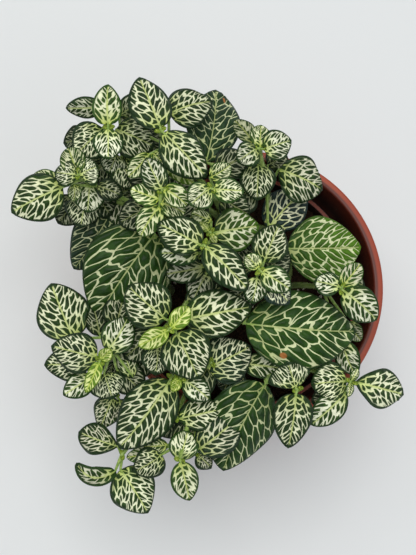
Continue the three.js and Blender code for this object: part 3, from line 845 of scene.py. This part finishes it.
                    (-32, -58.5, 10, -43, -61, 7, 6, "young", {"grey": 0.6}),
                ],
            },
            "trailing": {
                "top": (-45, -60, 10),
                "tip": [
                    (-47.5, -66, 9, -61, -63, 8, 7, "small",
                     {"roll": 25, "bend": -0.3, "cup": -0.5, "grey": 0.4}),
                    (-46.5, -57, 9, -60.3, -52, 7, 11.5, "mid",
                     {"ripple": 0.12, "grey": 0.5, "widest": 0.6}),
                    (-45.5, -65.5, 8, -35.7, -81, 3, 17, "mid", {"pale": 0.2}),
                ],
            },
        },
    },
}


def sight(x, y):
    # the line from the eye through a place of the drawing, which stands square to the view at its aim
    eye, aim = Vector(view["eye"]), Vector(view["aim"])
    ahead = (aim - eye).normalized()
    right = ahead.cross(Vector((0, 1, 0))).normalized()
    drawnX, drawnY = x - view["aimDrawn"][0], y - view["aimDrawn"][1]
    return ahead * (aim - eye).length + right * drawnX + right.cross(ahead) * drawnY


def nearer(x, y, height):
    # what is nearer to the eye than the drawing is smaller than it looks
    return (height - view["eye"][2]) / sight(x, y).z


def seen(x, y, height):
    # a place of the drawing, carried along its line of sight to its height
    return overRim(*(Vector(view["eye"]) + sight(x, y) * nearer(x, y, height)))


def footOf(plant):
    x, y = plants[plant]["foot"]
    return Vector((x, y, soilZ + soil["dome"] * (1 - math.hypot(x, y) / 60) - 0.6)) * mm


def stemPath(foot, top, steps=40):
    # steep out of the soil, then over to the top, and over the rim where the top hangs outside it
    rise = top.z - foot.z
    outside = math.hypot(top.x, top.y) > rimRadius * mm
    bend = foot.lerp(top, 0.1 if outside else 0.2)
    bend.z = foot.z + (0.75 if outside else 0.55) * rise
    near = foot.lerp(top, 0.86 if outside else 0.75)
    near.z = foot.z + 0.75 * rise
    if outside:
        near.z = max(foot.z + 0.6 * rise, (potHeight + stem["clearRim"]) * mm)
    shares = [i / steps for i in range(steps + 1)]
    return [foot * (1 - t) ** 3 + bend * 3 * t * (1 - t) ** 2 + near * 3 * t * t * (1 - t) + top * t ** 3
            for t in shares]


def jointsOf(shoot, path):
    # which point of the path carries each joint's leaves: the tip's is the last, any other's the nearest
    # one below
    joints = {"tip": len(path) - 1}
    gap = max(2, round(stem["jointSpacing"] * mm / (path[1] - path[0]).length))
    highest = len(path) - 1 - gap
    for level in shoot:
        if level in ("top", "tip"):
            continue
        middle = sum((seen(x, y, h - 2.5) for x, y, h, *_ in shoot[level]), Vector()) / len(shoot[level])
        lowest = round(0.2 * len(path))
        joints[level] = min(range(lowest, max(highest, lowest + 1)), key=lambda i: (path[i] - middle).length)
        highest = joints[level] - gap
    return joints


# the stems, mm: soft and round, swollen at each joint, downy
stem = {
    "radius": 0.95,
    "topShare": 0.7,         # of the radius, at the top
    "swelling": 0.35,        # more at a joint
    "crownRadius": 2.5,
    "clearRim": 12.0,
    "jointSpacing": 4.5,
    "hairsPerCm2": 420.0,
    "hairLength": 0.55,
    "hairWidth": 0.05,
    "greenHex": "#6E8E35",
    "paleHex": "#9BB25A",
    "footHex": "#3E4424",
    "streakMm": 0.9,
}


def softStem():
    # living stem: juicy light green with paler streaks along it, brown-green at the foot, a soft sheen
    material, tree = newMaterial("soft stem, downy")
    at = addNode(tree, "ShaderNodeTexCoord").outputs["Object"]
    height = addNode(tree, "ShaderNodeSeparateXYZ", {0: at}).outputs[2]
    drawn = addNode(tree, "ShaderNodeMapping", {"Vector": at, "Scale": (1, 1, 0.2)})
    streak = addNode(tree, "ShaderNodeTexNoise",
                     {"Vector": drawn, "Scale": 1 / (stem["streakMm"] * mm), "Detail": 3.0})
    pale = addNode(tree, "ShaderNodeMapRange", {0: streak, 1: 0.35, 2: 0.7}, interpolation_type="SMOOTHSTEP")
    green = addNode(tree, "ShaderNodeMix", {"Factor": pale, "A": toLinear(stem["greenHex"]),
                                            "B": toLinear(stem["paleHex"])}, data_type="RGBA")
    old = addNode(tree, "ShaderNodeMapRange", {0: height, 1: (potHeight - 2) * mm, 2: soilZ * mm},
                  interpolation_type="SMOOTHSTEP")
    colour = addNode(tree, "ShaderNodeMix", {"Factor": old, "A": green, "B": toLinear(stem["footHex"])},
                     data_type="RGBA")
    bump = addNode(tree, "ShaderNodeBump", {"Height": streak, "Strength": 0.4, "Distance": 0.3 * mm})
    shader = addNode(tree, "ShaderNodeBsdfPrincipled",
                     {"Base Color": colour, "Roughness": 0.5, "Sheen Weight": 0.2, "Normal": bump})
    addNode(tree, "ShaderNodeOutputMaterial", {"Surface": shader})
    return material


def stemTree():
    # a tube along each curve, as thick as the curve says, with fine hairs standing on it
    tree, given = newGeometryTree("downyStems", {
        "Hair Density": "Float", "Hair Length": "Float", "Hair Width": "Float", "Seed": "Int",
        "Stuff": "Material"})
    ring = addNode(tree, "GeometryNodeCurvePrimitiveCircle", {"Resolution": 12, "Radius": 1.0})
    tube = addNode(tree, "GeometryNodeCurveToMesh",
                   {"Curve": given["Geometry"], "Profile Curve": ring, "Fill Caps": True,
                    "Scale": addNode(tree, "GeometryNodeInputRadius")})
    spots = addNode(tree, "GeometryNodeDistributePointsOnFaces",
                    {"Mesh": tube, "Density": given["Hair Density"], "Seed": given["Seed"]})
    hair = addNode(tree, "GeometryNodeMeshCone",
                   {"Vertices": 3, "Radius Top": 0.0, "Radius Bottom": given["Hair Width"],
                    "Depth": given["Hair Length"]})
    hairs = addNode(tree, "GeometryNodeInstanceOnPoints",
                    {"Points": spots, "Instance": hair, "Rotation": spots.outputs["Rotation"]})
    joined = addNode(tree, "GeometryNodeJoinGeometry")
    tree.links.new(hairs.outputs[0], joined.inputs[0])
    smooth = addNode(tree, "GeometryNodeSetShadeSmooth", {"Geometry": tube})
    tree.links.new(smooth.outputs[0], joined.inputs[0])
    solid = addNode(tree, "GeometryNodeRealizeInstances", {0: joined})
    coloured = addNode(tree, "GeometryNodeSetMaterial", {"Geometry": solid, "Material": given["Stuff"]})
    addNode(tree, "NodeGroupOutput", {0: coloured})
    return tree


def addSpline(curve, path, radii):
    spline = curve.splines.new("POLY")
    spline.points.add(len(path) - 1)
    for point, at, radius in zip(spline.points, path, radii):
        point.co = (*at, 1)
        point.radius = radius * mm


def newCurve(name):
    curve = bpy.data.curves.new(name, "CURVE")
    curve.dimensions = "3D"
    return curve


def stemRadii(path, joints):
    # thinner towards the top, swollen for a millimetre or two each side of a joint
    step = (path[-1] - path[0]).length / mm / (len(path) - 1)
    radii = []
    for i in range(len(path)):
        swell = sum(math.exp(-((i - joint) * step / 1.2) ** 2) for joint in joints.values())
        taper = 1 - (1 - stem["topShare"]) * i / (len(path) - 1)
        radii.append(stem["radius"] * taper * (1 + stem["swelling"] * min(swell, 1)))
    return radii


def makeStems(stuff):
    tree = stemTree()
    for number, plant in enumerate(plants):
        foot = footOf(plant)
        curve = newCurve(plant + "Stems")
        crown = stem["crownRadius"]
        addSpline(curve, [foot + up * z * mm for z in (0, 1, 2, 3, 3.6)],
                  [crown, crown, 0.85 * crown, 0.6 * crown, 0.3 * crown])
        for shoot in plants[plant]["shoots"].values():
            path = stemPath(foot + up * mm, seen(*shoot["top"]))
            addSpline(curve, path, stemRadii(path, jointsOf(shoot, path)))
        piece = newObject(plant + "Stems", curve)
        addModifier(piece, tree, {
            "Hair Density": stem["hairsPerCm2"] * 1e4, "Hair Length": stem["hairLength"] * mm,
            "Hair Width": stem["hairWidth"] * mm, "Seed": number, "Stuff": stuff})
        settle(baked(piece), plant + "_stems")


stemStuff = softStem()
makeStems(stemStuff)
print("stems made")


# How a leaf grows with age: shares are of its length or half width, "vein" is half a vein's width as a
# share of the distance between side veins, "rows" how many side veins stand along each half, and "youth"
# picks its colours.
ages = {
    "bud": {"youth": 1.0, "arch": 0.02, "cup": -0.7, "rows": 6, "vein": 0.15, "cell": 2.4, "margin": 0.05},
    "young": {"youth": 0.72, "arch": 0.05, "cup": -0.15, "rows": 7, "vein": 0.17, "cell": 1.7,
              "margin": 0.4},
    "small": {"youth": 0.5, "arch": 0.08, "cup": 0.15, "rows": 8, "vein": 0.165, "cell": 1.5, "margin": 1.0},
    "mid": {"youth": 0.28, "arch": 0.09, "cup": 0.34, "rows": 9, "vein": 0.135, "cell": 1.2, "margin": 1.45},
    # shade: understorey leaves in the dark gaps, darkened by their tone as painted shade
    "shade": {"youth": 0.2, "arch": 0.07, "cup": 0.2, "rows": 7, "vein": 0.12, "cell": 1.3, "margin": 1.3,
              "tone": 0.55},
    "old": {"youth": 0.0, "arch": 0.08, "cup": 0.3, "rows": 10, "vein": 0.07, "cell": 1.35, "margin": 1.1},
}
leaf = {
    "mesh": 0.45,            # mm between points
    "past": 1.04,            # the blade runs on past the place of its tip, which it curls down from
    "fuller": 1.05,          # blades are made this much wider than the table says, a chosen value
    "thickness": 0.3,        # mm
    "relief": 0.5,           # mm that the cells swell between the veins
    "sweep": 0.35,           # how far a side vein leans to the tip for each mm it runs out, at the base
    "sweepMore": 0.8,        # and how much more it leans at the tip
    "curve": 0.35,           # and how much more at the margin
    "jitter": 0.85,
    "wobble": 0.9,
    "petioleRadius": 0.62,
    "stalkRadius": 0.45,     # where the petiole enters the blade
    "budLength": 2.1,
    # colours from old to bud, by youth
    "youths": (0.0, 0.28, 0.5, 0.72, 1.0),
    "cellHexes": ("#294C0C", "#2C4A10", "#345510", "#406417", "#88AB2C"),
    "deepHexes": ("#173408", "#122808", "#18330A", "#2E5210", "#719A22"),
    "veinHexes": ("#CDD3A6", "#E5E9C4", "#E9EDCF", "#E7ECBE", "#CCD76C"),
    "stalkHexes": ("#96A25A", "#ABBB55", "#B7C85C", "#B2C43C", "#9FB92C"),
    "marginHexes": ("#213A10", "#1D3512", "#244214", "#3A5F1A", "#7FA028"),
    # painted sky sheen: the bluish cast that some leaves take
    "skySheenHex": "#1F332E",
    "greyHex": "#B9B5A4",
    # painted light: the brighter green that some leaves take towards the tip
    "litGreenHex": "#55800F",
    "spotHex": "#A56A36",
    "underHex": "#71905A",
    "underVeinHex": "#AFC08F",
}
# what each point of a blade carries, three numbers to a field
leafFields = ("leafPlace", "leafShare", "leafNet", "leafTone", "leafTint", "leafMarks")


def veinNet(tree, place, share, net):
    # Side veins leave the midrib in pairs and lean to the tip; cross veins tie them into long cells.
    # Gives how near a spot is to a vein, as a share of the distance between side veins, and to the midrib.
    along, across, seed = addNode(tree, "ShaderNodeSeparateXYZ", {0: place}).outputs
    length, v, _ = addNode(tree, "ShaderNodeSeparateXYZ", {0: share}).outputs
    spacing, _, cellLength = addNode(tree, "ShaderNodeSeparateXYZ", {0: net}).outputs
    out = addNode(tree, "ShaderNodeMath", {0: across}, operation="ABSOLUTE")
    outShare = addNode(tree, "ShaderNodeMath", {0: v}, operation="ABSOLUTE")
    side = addNode(tree, "ShaderNodeMath", {0: across}, operation="SIGN")
    lean = addNode(tree, "ShaderNodeMath", {0: length, 1: leaf["sweepMore"], 2: leaf["sweep"]},
                   operation="MULTIPLY_ADD")
    leanOut = addNode(tree, "ShaderNodeMath", {0: outShare, 1: leaf["curve"], 2: lean},
                      operation="MULTIPLY_ADD")
    swept = addNode(tree, "ShaderNodeMath", {0: out, 1: leanOut}, operation="MULTIPLY")
    straight = addNode(tree, "ShaderNodeMath", {0: along, 1: swept}, operation="SUBTRACT")
    row = addNode(tree, "ShaderNodeMath", {0: straight, 1: spacing}, operation="DIVIDE")
    column = addNode(tree, "ShaderNodeMath", {0: out, 1: spacing}, operation="DIVIDE")
    longColumn = addNode(tree, "ShaderNodeMath", {0: column, 1: cellLength}, operation="DIVIDE")
    plain = addNode(tree, "ShaderNodeCombineXYZ", {0: row, 1: column, 2: seed})
    waves = addNode(tree, "ShaderNodeTexNoise",
                    {"Vector": plain, "Scale": 0.9, "Detail": 1.0}).outputs["Color"]
    own = addNode(tree, "ShaderNodeMath", {0: side, 1: 7.3, 2: seed}, operation="MULTIPLY_ADD")
    lane = addNode(tree, "ShaderNodeMath", {0: longColumn, 1: own}, operation="ADD")
    spot = addNode(tree, "ShaderNodeCombineXYZ", {0: row, 1: lane})
    wavy = addNode(tree, "ShaderNodeVectorMath", {0: waves, 1: (leaf["wobble"],) * 3, 2: spot},
                   operation="MULTIPLY_ADD")
    cells = addNode(tree, "ShaderNodeTexVoronoi",
                    {"Vector": wavy, "Scale": 1.0, "Randomness": leaf["jitter"]},
                    feature="DISTANCE_TO_EDGE", voronoi_dimensions="2D")
    taper = addNode(tree, "ShaderNodeMath", {0: length, 1: -0.7, 2: 1.3}, operation="MULTIPLY_ADD")
    midrib = addNode(tree, "ShaderNodeMath", {0: column, 1: taper}, operation="DIVIDE")
    near = addNode(tree, "ShaderNodeMath", {0: cells, 1: midrib}, operation="MINIMUM")
    return near, midrib


def byYouth(tree, youth, hexes):
    ramp = addNode(tree, "ShaderNodeValToRGB", {"Fac": youth})
    stops = ramp.color_ramp.elements
    for position, colourHex in zip(leaf["youths"], hexes):
        stop = stops[0] if position == 0 else stops[-1] if position == 1 else stops.new(position)
        stop.color = toLinear(colourHex)
    return ramp


def leafUpper():
    # upper face: swollen green cells with a waxy gloss between sunken cream veins, a smooth dark margin; old
    # leaves have thin veins and broad cells, young ones are yellow-green at the stalk; painted shade darkens
    # leaves lying low or under others, painted light brightens some towards the tip, and a painted bluish
    # sky sheen lies on some
    material, tree = newMaterial("nerve plant leaf, upper face")
    place, share, net, tone, tint, marks = [
        addNode(tree, "ShaderNodeAttribute", attribute_name=name).outputs["Vector"] for name in leafFields]
    near, midrib = veinNet(tree, place, share, net)
    length, vShare, edge = addNode(tree, "ShaderNodeSeparateXYZ", {0: share}).outputs
    width = addNode(tree, "ShaderNodeSeparateXYZ", {0: net}).outputs[1]
    youth, value, _ = addNode(tree, "ShaderNodeSeparateXYZ", {0: tone}).outputs
    margin, spotAt, spotAcross = addNode(tree, "ShaderNodeSeparateXYZ", {0: marks}).outputs
    blue, grey, fresh = addNode(tree, "ShaderNodeSeparateXYZ", {0: tint}).outputs
    blotch = addNode(tree, "ShaderNodeTexNoise", {"Vector": place, "Scale": 0.5, "Detail": 3.0})
    uneven = addNode(tree, "ShaderNodeMapRange", {0: blotch, 1: 0.3, 2: 0.7, 3: 0.85, 4: 1.15})
    thick = addNode(tree, "ShaderNodeMath", {0: width, 1: uneven}, operation="MULTIPLY")
    soft = addNode(tree, "ShaderNodeMath", {0: thick, 1: 0.7}, operation="MULTIPLY")
    vein = addNode(tree, "ShaderNodeMapRange", {0: near, 1: thick, 2: soft}, interpolation_type="SMOOTHSTEP")
    band = addNode(tree, "ShaderNodeMath", {0: margin, 1: uneven}, operation="MULTIPLY")
    inner = addNode(tree, "ShaderNodeMath", {0: band, 1: 0.6}, operation="MULTIPLY")
    inside = addNode(tree, "ShaderNodeMapRange", {0: edge, 1: inner, 2: band},
                     interpolation_type="SMOOTHSTEP")
    veined = addNode(tree, "ShaderNodeMath", {0: vein, 1: inside}, operation="MULTIPLY")
    heart = addNode(tree, "ShaderNodeMapRange", {0: near, 1: thick, 2: 0.5}, interpolation_type="SMOOTHSTEP")
    cell = addNode(tree, "ShaderNodeMix", {"Factor": heart, "A": byYouth(tree, youth, leaf["cellHexes"]),
                                           "B": byYouth(tree, youth, leaf["deepHexes"])}, data_type="RGBA")
    outline = byYouth(tree, youth, leaf["marginHexes"])
    rimmed = addNode(tree, "ShaderNodeMix", {"Factor": inside, "A": outline, "B": cell}, data_type="RGBA")
    # a bluish cast: painted sky sheen where a leaf is given one, a slight random hue on the rest
    skySheened = addNode(tree, "ShaderNodeMix", {"Factor": blue, "A": rimmed, "B": toLinear(leaf["skySheenHex"])},
                    data_type="RGBA")
    # painted light: a brighter green spreads from the base to the tip of some leaves
    litShare = addNode(tree, "ShaderNodeMath", {0: length, 1: fresh}, operation="MULTIPLY")
    green = addNode(tree, "ShaderNodeMix", {"Factor": litShare, "A": skySheened, "B": toLinear(leaf["litGreenHex"])},
                    data_type="RGBA")
    greyed = addNode(tree, "ShaderNodeMix", {"Factor": grey, "A": byYouth(tree, youth, leaf["veinHexes"]),
                                             "B": toLinear(leaf["greyHex"])}, data_type="RGBA")
    nearStalk = addNode(tree, "ShaderNodeMapRange", {0: length, 1: 0.42, 2: 0.0})
    rib = addNode(tree, "ShaderNodeMapRange", {0: midrib, 1: 0.35, 2: 0.1, 3: 0.0, 4: 0.7})
    juicy = addNode(tree, "ShaderNodeMath", {0: nearStalk, 1: rib}, operation="MAXIMUM")
    cream = addNode(tree, "ShaderNodeMix", {"Factor": juicy, "A": greyed,
                                            "B": byYouth(tree, youth, leaf["stalkHexes"])}, data_type="RGBA")
    colour = addNode(tree, "ShaderNodeMix", {"Factor": veined, "A": green, "B": cream}, data_type="RGBA")
    # painted shade: the leaf's tone, below 1 for leaves lying low or under others, darkens its colour, with
    # some random unevenness
    toned = addNode(tree, "ShaderNodeHueSaturation",
                    {"Value": addNode(tree, "ShaderNodeMath", {0: value, 1: uneven}, operation="MULTIPLY"),
                     "Color": colour})
    fromSpot = addNode(tree, "ShaderNodeMath", {0: length, 1: spotAt}, operation="SUBTRACT")
    spotX = addNode(tree, "ShaderNodeMath", {0: fromSpot, 1: 30.0}, operation="MULTIPLY")
    aside = addNode(tree, "ShaderNodeMath", {0: vShare, 1: spotAcross}, operation="SUBTRACT")
    spotY = addNode(tree, "ShaderNodeMath", {0: aside, 1: 12.0}, operation="MULTIPLY")
    spotVector = addNode(tree, "ShaderNodeCombineXYZ", {0: spotX, 1: spotY})
    spotFar = addNode(tree, "ShaderNodeVectorMath", {0: spotVector}, operation="LENGTH").outputs["Value"]
    spot = addNode(tree, "ShaderNodeMapRange", {0: spotFar, 1: 1.1, 2: 0.7}, interpolation_type="SMOOTHSTEP")
    spotted = addNode(tree, "ShaderNodeMix", {"Factor": spot, "A": toned, "B": toLinear(leaf["spotHex"])},
                      data_type="RGBA")
    pores = addNode(tree, "ShaderNodeTexNoise", {"Vector": place, "Scale": 5.0, "Detail": 2.0})
    swell = addNode(tree, "ShaderNodeMapRange", {0: near, 1: 0.0, 2: 0.42}, interpolation_type="SMOOTHSTEP")
    relief = addNode(tree, "ShaderNodeMath", {0: pores, 1: 0.2, 2: swell}, operation="MULTIPLY_ADD")
    bump = addNode(tree, "ShaderNodeBump", {"Height": relief, "Strength": 0.75, "Distance": 0.5 * mm})
    rough = addNode(tree, "ShaderNodeMapRange", {0: pores, 1: 0.3, 2: 0.7, 3: 0.42, 4: 0.58})
    shader = addNode(tree, "ShaderNodeBsdfPrincipled",
                     {"Base Color": spotted, "Roughness": rough, "Specular IOR Level": 0.25, "Normal": bump})
    addNode(tree, "ShaderNodeOutputMaterial", {"Surface": shader})
    return material


def leafUnder():
    # underside: pale matt green, the veins a little paler and proud
    material, tree = newMaterial("nerve plant leaf, underside")
    place, share, net = [addNode(tree, "ShaderNodeAttribute", attribute_name=name).outputs["Vector"]
                         for name in leafFields[:3]]
    near, _ = veinNet(tree, place, share, net)
    vein = addNode(tree, "ShaderNodeMapRange", {0: near, 1: 0.2, 2: 0.05}, interpolation_type="SMOOTHSTEP")
    colour = addNode(tree, "ShaderNodeMix", {"Factor": vein, "A": toLinear(leaf["underHex"]),
                                             "B": toLinear(leaf["underVeinHex"])}, data_type="RGBA")
    bump = addNode(tree, "ShaderNodeBump", {"Height": vein, "Strength": 0.5, "Distance": 0.3 * mm})
    shader = addNode(tree, "ShaderNodeBsdfPrincipled",
                     {"Base Color": colour, "Roughness": 0.6, "Normal": bump})
    addNode(tree, "ShaderNodeOutputMaterial", {"Surface": shader})
    return material


def leafTree():
    # the sheets swell between their veins and get a thickness and an underside, then their petioles
    # join them
    tree, given = newGeometryTree("quiltedLeaves", {
        "Relief": "Float", "Thickness": "Float", "Petioles": "Object",
        "Upper": "Material", "Under": "Material", "Petiole": "Material"})
    place, share, net = [
        addNode(tree, "GeometryNodeInputNamedAttribute", {"Name": name}, data_type="FLOAT_VECTOR")
        for name in leafFields[:3]]
    near, _ = veinNet(tree, place, share, net)
    edge = addNode(tree, "ShaderNodeSeparateXYZ", {0: share}).outputs[2]
    swell = addNode(tree, "ShaderNodeMapRange", {0: near, 1: 0.0, 2: 0.42, 3: 0.0, 4: given["Relief"]},
                    interpolation_type="SMOOTHSTEP")
    inward = addNode(tree, "ShaderNodeMapRange", {0: edge, 1: 0.0, 2: 1.2},
                     interpolation_type="SMOOTHSTEP")
    lift = addNode(tree, "ShaderNodeMath", {0: swell, 1: inward}, operation="MULTIPLY")
    normal = addNode(tree, "GeometryNodeInputNormal")
    shift = addNode(tree, "ShaderNodeVectorMath", {0: normal, "Scale": lift}, operation="SCALE")
    sheet = addNode(tree, "GeometryNodeSetPosition", {"Geometry": given["Geometry"], "Offset": shift})
    upper = addNode(tree, "GeometryNodeSetMaterial", {"Geometry": sheet, "Material": given["Upper"]})
    down = addNode(tree, "ShaderNodeMath", {0: given["Thickness"], 1: -1.0}, operation="MULTIPLY")
    shell = addNode(tree, "GeometryNodeExtrudeMesh",
                    {"Mesh": upper, "Offset Scale": down, "Individual": False})
    lower = addNode(tree, "GeometryNodeSetMaterial",
                    {"Geometry": shell, "Selection": shell.outputs["Top"], "Material": given["Under"]})
    turned = addNode(tree, "GeometryNodeFlipFaces", {"Mesh": lower})
    both = addNode(tree, "GeometryNodeJoinGeometry")
    tree.links.new(turned.outputs[0], both.inputs[0])
    tree.links.new(upper.outputs[0], both.inputs[0])
    blade = addNode(tree, "GeometryNodeMergeByDistance", {"Geometry": both, "Distance": 0.001 * mm})
    stalks = addNode(tree, "GeometryNodeObjectInfo", {"Object": given["Petioles"]}).outputs["Geometry"]
    ring = addNode(tree, "GeometryNodeCurvePrimitiveCircle", {"Resolution": 8, "Radius": 1.0})
    tube = addNode(tree, "GeometryNodeCurveToMesh",
                   {"Curve": stalks, "Profile Curve": ring, "Fill Caps": True,
                    "Scale": addNode(tree, "GeometryNodeInputRadius")})
    petiole = addNode(tree, "GeometryNodeSetMaterial", {"Geometry": tube, "Material": given["Petiole"]})
    whole = addNode(tree, "GeometryNodeJoinGeometry")
    tree.links.new(petiole.outputs[0], whole.inputs[0])
    tree.links.new(blade.outputs[0], whole.inputs[0])
    smooth = addNode(tree, "GeometryNodeSetShadeSmooth", {"Geometry": whole})
    addNode(tree, "NodeGroupOutput", {0: addNode(tree, "GeometryNodeRealizeInstances", {0: smooth})})
    return tree


def halfWidth(share, widest=0.43):
    # the outline of one half: round at the base, full before the middle, drawn in to a blunt tip
    if not 0 < share < 1:
        return 0
    return math.sin(math.pi * share ** (math.log(0.5) / math.log(widest))) ** (0.5 + 0.12 * share)


def addBlade(bag, joint, base, tip, width, age, draw, own):
    # one sheet from base to tip over a curved midrib, and the petiole that brings it from the joint
    look = {**ages[age], **own}
    tip = base.lerp(tip, leaf["past"])
    length = (tip - base).length
    along = (tip - base) / length
    over = (up - along * along.dot(up)).normalized()
    over.rotate(Quaternion(along, math.radians(own.get("roll", 0) + draw.uniform(-8, 8))))
    across = along.cross(over)
    arch = look["arch"] * draw.uniform(0.6, 1.4)
    cup = look["cup"] * draw.uniform(0.7, 1.3)
    bend = own.get("bend", draw.uniform(-0.035, 0.035))
    curl = own.get("curl", draw.uniform(0, 0.06))
    phase = draw.uniform(0, 6.28)
    ripple = own.get("ripple", 0.02)
    widest = own.get("widest", draw.uniform(0.4, 0.47))
    # painted shade: a tone below 1 darkens leaves lying low or under others; the draw adds a random spread
    tone = look.get("tone", 1) * draw.uniform(0.88, 1.1)
    spacing = length / mm / look["rows"] * draw.uniform(0.92, 1.08)
    seed = draw.randint(1, 90)
    stub = leaf["stalkRadius"] * mm * (0.5 if age == "bud" else 1)
    rows = max(8, round(length / mm / leaf["mesh"]))
    columns = max(3, round(width / mm / 2 / leaf["mesh"]))
    pale = own.get("pale", 0)
    numbers = {
        "leafNet": (spacing, look["vein"] * (1 + 0.3 * pale), look["cell"]),
        "leafTone": (min(1, look["youth"] + 0.25 * pale), tone, 0),
        "leafMarks": (look["margin"], own.get("spot", 9), own.get("spotAcross", 0)),
        # the tint's first number is a bluish cast, painted sky sheen where given and a slight random hue
        # otherwise; its last is painted light, a brighter green towards the tip
        "leafTint": (own.get("blue", draw.uniform(0, 0.15)), own.get("grey", 0), own.get("fresh", 0)),
    }

    def midrib(s):
        rise = arch * math.sin(math.pi * max(s, 0) ** 0.85) - curl * s ** 3
        return base + (along * s + over * rise + across * (bend * 4 * s * (1 - s))) * length

    def addPoint(at, s, v, reach, edge):
        bag["points"].append(at)
        bag["leafPlace"].append((s * length / mm, v * reach / mm, seed))
        bag["leafShare"].append((s, v, edge / mm))
        for field, value in numbers.items():
            bag[field].append(value)

    first = len(bag["points"])
    for i in range(rows):
        s = i / rows
        ahead = (midrib(s + 0.01) - midrib(s - 0.01)).normalized()
        sideways = ahead.cross(over).normalized()
        upright = sideways.cross(ahead)
        reach = max(leaf["fuller"] * width / 2 * halfWidth(s, widest), stub)
        for j in range(-columns, columns + 1):
            v = j / columns
            far = abs(v)
            groove = -0.06 * math.exp(-(far / 0.15) ** 2)
            wave = ripple * 2 * math.sin(11 * s + phase + (2 if v > 0 else 0)) * far ** 3
            height = (groove + wave - cup * far ** 1.7) * reach
            at = midrib(s) + sideways * (v * reach * (1 - 0.2 * cup * cup * far)) + upright * height
            addPoint(at, s, v, reach, min(reach * (1 - far), (1 - s) * length * 0.8))
    addPoint(midrib(1), 1, 0, 0, 0)
    wide = 2 * columns + 1
    for i in range(rows - 1):
        for j in range(wide - 1):
            a = first + i * wide + j
            bag["faces"].append((a, a + 1, a + wide + 1, a + wide))
    end = first + (rows - 1) * wide
    bag["faces"] += [(end + j, end + j + 1, end + wide) for j in range(wide - 1)]

    # the petiole bends up from the joint and runs on under the blade as its keel
    sunk = leaf["thickness"] * mm
    reachIn = base - joint
    knee = joint + reachIn * 0.5 + (over - up * 0.5) * 0.08 * reachIn.length
    path = [joint * (1 - t) ** 2 + knee * 2 * t * (1 - t) + (base - over * sunk) * t * t
            for t in (i / 6 for i in range(7))]
    thick = leaf["petioleRadius"] * (0.4 if age == "bud" else 1)
    radii = [thick + (stub / mm - thick) * i / 6 for i in range(7)]
    for s in (0.1, 0.2, 0.35, 0.5, 0.65, 0.8):
        path.append(midrib(s) - over * (sunk + 0.06 * width / 2 * halfWidth(s, widest)))
        radii.append(stub / mm * (1 - s) * 0.8)
    bag["petioles"].append((path, radii))


def addBuds(bag, top, leaves, draw):
    # the next pair, just open, stands across the pair below it
    first = seen(*leaves[0][3:6]) - top
    across = first.cross(up).normalized()
    size = leaf["budLength"] * mm
    for side in (-1, 1):
        base = top + across * side * 0.3 * mm
        tip = base + (across * side * 0.75 + up * draw.uniform(0.5, 0.8)) * size * draw.uniform(0.8, 1.2)
        addBlade(bag, top, base, tip, 0.62 * size, "bud", draw, {})


def leafMesh(name, bag):
    mesh = bpy.data.meshes.new(name)
    mesh.from_pydata(bag["points"], [], bag["faces"])
    for field in leafFields:
        layer = mesh.attributes.new(field, "FLOAT_VECTOR", "POINT")
        layer.data.foreach_set("vector", [number for value in bag[field] for number in value])
    return mesh


def makeLeaves(petioleStuff):
    upper, under, tree = leafUpper(), leafUnder(), leafTree()
    for plant in plants:
        for shootName, shoot in plants[plant]["shoots"].items():
            path = stemPath(footOf(plant) + up * mm, seen(*shoot["top"]))
            joints = jointsOf(shoot, path)
            for level, joint in joints.items():
                name = plant + "_" + shootName + "_" + level
                draw = random.Random(name)
                bag = {field: [] for field in ("points", "faces", "petioles", *leafFields)}
                for x, y, h, tipX, tipY, tipH, width, age, *own in shoot[level]:
                    reach = width * nearer(x, y, (h + tipH) / 2) * mm
                    addBlade(bag, path[joint], seen(x, y, h), seen(tipX, tipY, tipH), reach, age, draw,
                             own[0] if own else {})
                if level == "tip" and shoot[level][0][7] != "old":
                    addBuds(bag, path[joint], shoot[level], draw)
                stalks = newCurve("stalks")
                for stalkPath, radii in bag["petioles"]:
                    addSpline(stalks, stalkPath, radii)
                stalkHolder = newObject("stalks", stalks)
                piece = newObject(name + "_leaves", leafMesh(name, bag))
                addModifier(piece, tree, {
                    "Relief": leaf["relief"] * mm, "Thickness": leaf["thickness"] * mm,
                    "Petioles": stalkHolder, "Upper": upper, "Under": under, "Petiole": petioleStuff})
                piece = baked(piece)
                bpy.data.objects.remove(stalkHolder)
                settle(piece, name)


makeLeaves(stemStuff)
print("leaves made")
